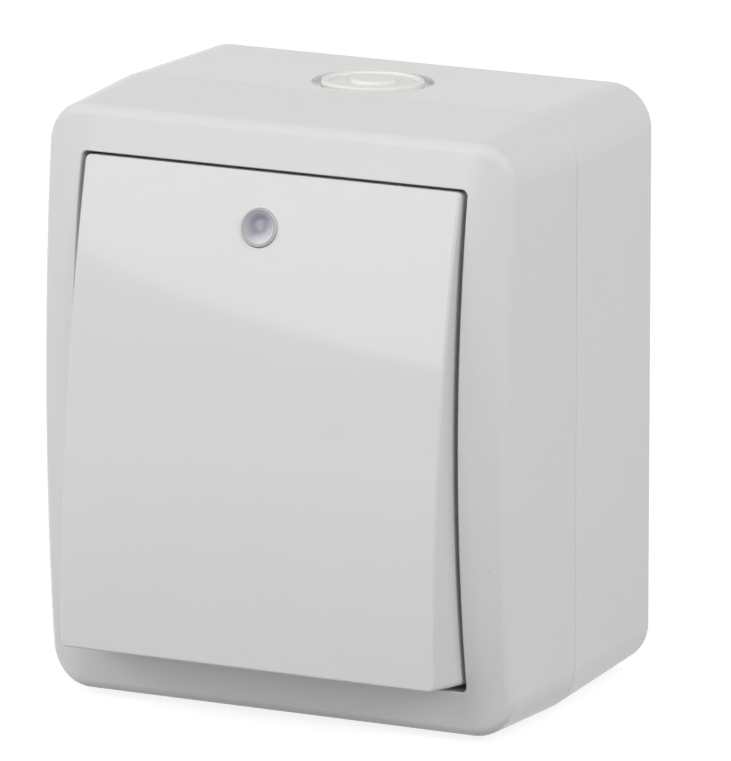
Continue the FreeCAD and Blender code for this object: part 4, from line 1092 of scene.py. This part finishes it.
@dataclass
class Studio:
    """The camera, the lamps, the world and the floor."""

    azimuth: float = 25.828
    elevation: float = 13.533
    distance: float = 1.404
    aim: Triple = (0.00297, -0.022, 0.001264)
    focal_pixels: float = 11170.0
    picture_height: float = 761.0
    sensor: float = 36.0
    near: float = 0.01
    far: float = 100.0
    ambient: float = 0.325
    floor_gap: float = 0.0002
    floor_half: float = 6.0
    floor_colour: Colour = grey(0.30)
    floor_glow: float = 0.84
    shadow_reach: float = 0.3
    shadow_fade: float = 0.4

    def direction(self, azimuth: float, elevation: float) -> Vector:
        """Give the unit vector from the switch towards a place round it.

        Args:
            azimuth: Degrees to the right of the front.
            elevation: Degrees above the horizon.

        Returns:
            The vector.
        """
        turn, rise = math.radians(azimuth), math.radians(elevation)
        return Vector((math.sin(turn) * math.cos(rise), -math.cos(turn) * math.cos(rise),
                       math.sin(rise)))

    def aim_object(self, thing: bpy.types.Object, back: Vector, distance: float) -> None:
        """Put a lamp or the camera at a distance, facing the switch.

        Args:
            thing: The lamp or camera.
            back: The unit vector from the switch towards it.
            distance: Metres from the switch.
        """
        thing.location = Vector(self.aim) + back * distance
        thing.rotation_mode = "QUATERNION"
        thing.rotation_quaternion = (-back).to_track_quat("-Z", "Y")
        bpy.context.scene.collection.objects.link(thing)

    def place_camera(self) -> None:
        """Put the camera at the photograph's viewing angle."""
        data = bpy.data.cameras.new("camera")
        data.sensor_width = self.sensor
        data.lens = self.focal_pixels * self.sensor / self.picture_height
        data.clip_start, data.clip_end = self.near, self.far
        camera = bpy.data.objects.new("camera", data)
        self.aim_object(camera, self.direction(self.azimuth, self.elevation), self.distance)
        bpy.context.scene.camera = camera

    def add_lamp(self, lamp: Lamp) -> None:
        """Add a soft lamp that faces the switch.

        Args:
            lamp: The lamp.
        """
        data = bpy.data.lights.new(lamp.name, "AREA")
        data.shape = lamp.shape.value
        data.size, data.size_y = lamp.size
        round_share = math.pi / 4 if lamp.shape is LampShape.OVAL else 1.0
        data.energy = lamp.strength * lamp.size[0] * lamp.size[1] * round_share * math.pi
        stand = bpy.data.objects.new(lamp.name, data)
        stand.visible_glossy = lamp.mirrored
        self.aim_object(stand, self.direction(lamp.azimuth, lamp.elevation), lamp.distance)
        LOG.info("placed %s", lamp.name)

    def seen(self, bench: Bench) -> Wire:
        """Tell what is seen directly, in gloss or through glass from what only gives light.

        Args:
            bench: The bench of the material or world that asks.

        Returns:
            1 where it is seen, and else 0.
        """
        rays = [bench.node("ShaderNodeLightPath", {}, {}, name)
                for name in ("Is Camera Ray", "Is Glossy Ray", "Is Transmission Ray")]
        return (rays[0] + rays[1] + rays[2]).clamped()

    def fill_world(self) -> None:
        """Light the world evenly, and show it white."""
        world = bpy.data.worlds.new("studio")
        bpy.context.scene.world = world
        world.use_nodes = True
        bench = Bench(world.node_tree)
        soft = bench.node("ShaderNodeBackground", {},
                          {"Color": grey(1.0), "Strength": self.ambient})
        white = bench.node("ShaderNodeBackground", {}, {"Color": grey(1.0), "Strength": 1.0})
        bench.end(bench.node("ShaderNodeMixShader", {}, {0: self.seen(bench), 1: soft, 2: white}),
                  "ShaderNodeOutputWorld")

    def lay_floor(self) -> None:
        """Lay the plain pale floor that the switch stands on."""
        mesh = bpy.data.meshes.new("floor")
        half, low = self.floor_half, CAD_BOX[0].z - self.floor_gap
        corners = [(-half, -half, low), (half, -half, low), (half, half, low), (-half, half, low)]
        mesh.from_pydata(corners, [], [(0, 1, 2, 3)])
        floor = bpy.data.objects.new("floor", mesh)
        bpy.context.scene.collection.objects.link(floor)
        material, bench = new_material("floor")
        diffuse = bench.node("ShaderNodeBsdfDiffuse", {}, {"Color": self.floor_colour})
        near = bench.node("ShaderNodeEmission", {}, {"Strength": self.floor_glow})
        far = bench.node("ShaderNodeEmission", {}, {"Strength": 1.0})
        reach = bench.vector("LENGTH", bench.place(), output="Value")
        glow = bench.node("ShaderNodeMixShader", {},
                          {0: ((reach - self.shadow_reach) / self.shadow_fade).clamped(),
                           1: near, 2: far})
        both = bench.node("ShaderNodeAddShader", {}, {0: diffuse, 1: glow})
        bench.end(bench.node("ShaderNodeMixShader", {}, {0: self.seen(bench), 1: diffuse, 2: both}))
        mesh.materials.append(material)
        LOG.info("laid the floor")

    def build(self) -> None:
        """Set up the whole studio."""
        bpy.context.scene.view_settings.view_transform = "Standard"
        self.place_camera()
        self.fill_world()
        for lamp in STUDIO_LAMPS:
            self.add_lamp(lamp)
        self.lay_floor()


def main() -> None:
    """Dress the switch, build its fine pieces and set up the studio."""
    logging.basicConfig(level=logging.INFO, format="%(message)s")
    Mechanism().dress()
    IndicatorLens().build()
    JointSeam().build()
    GlowLamp().build()
    LampResistor().build()
    BoardTracks().build()
    for thread in SCREW_THREADS:
        thread.build()
    Studio().build()


if __name__ == "__main__":
    main()
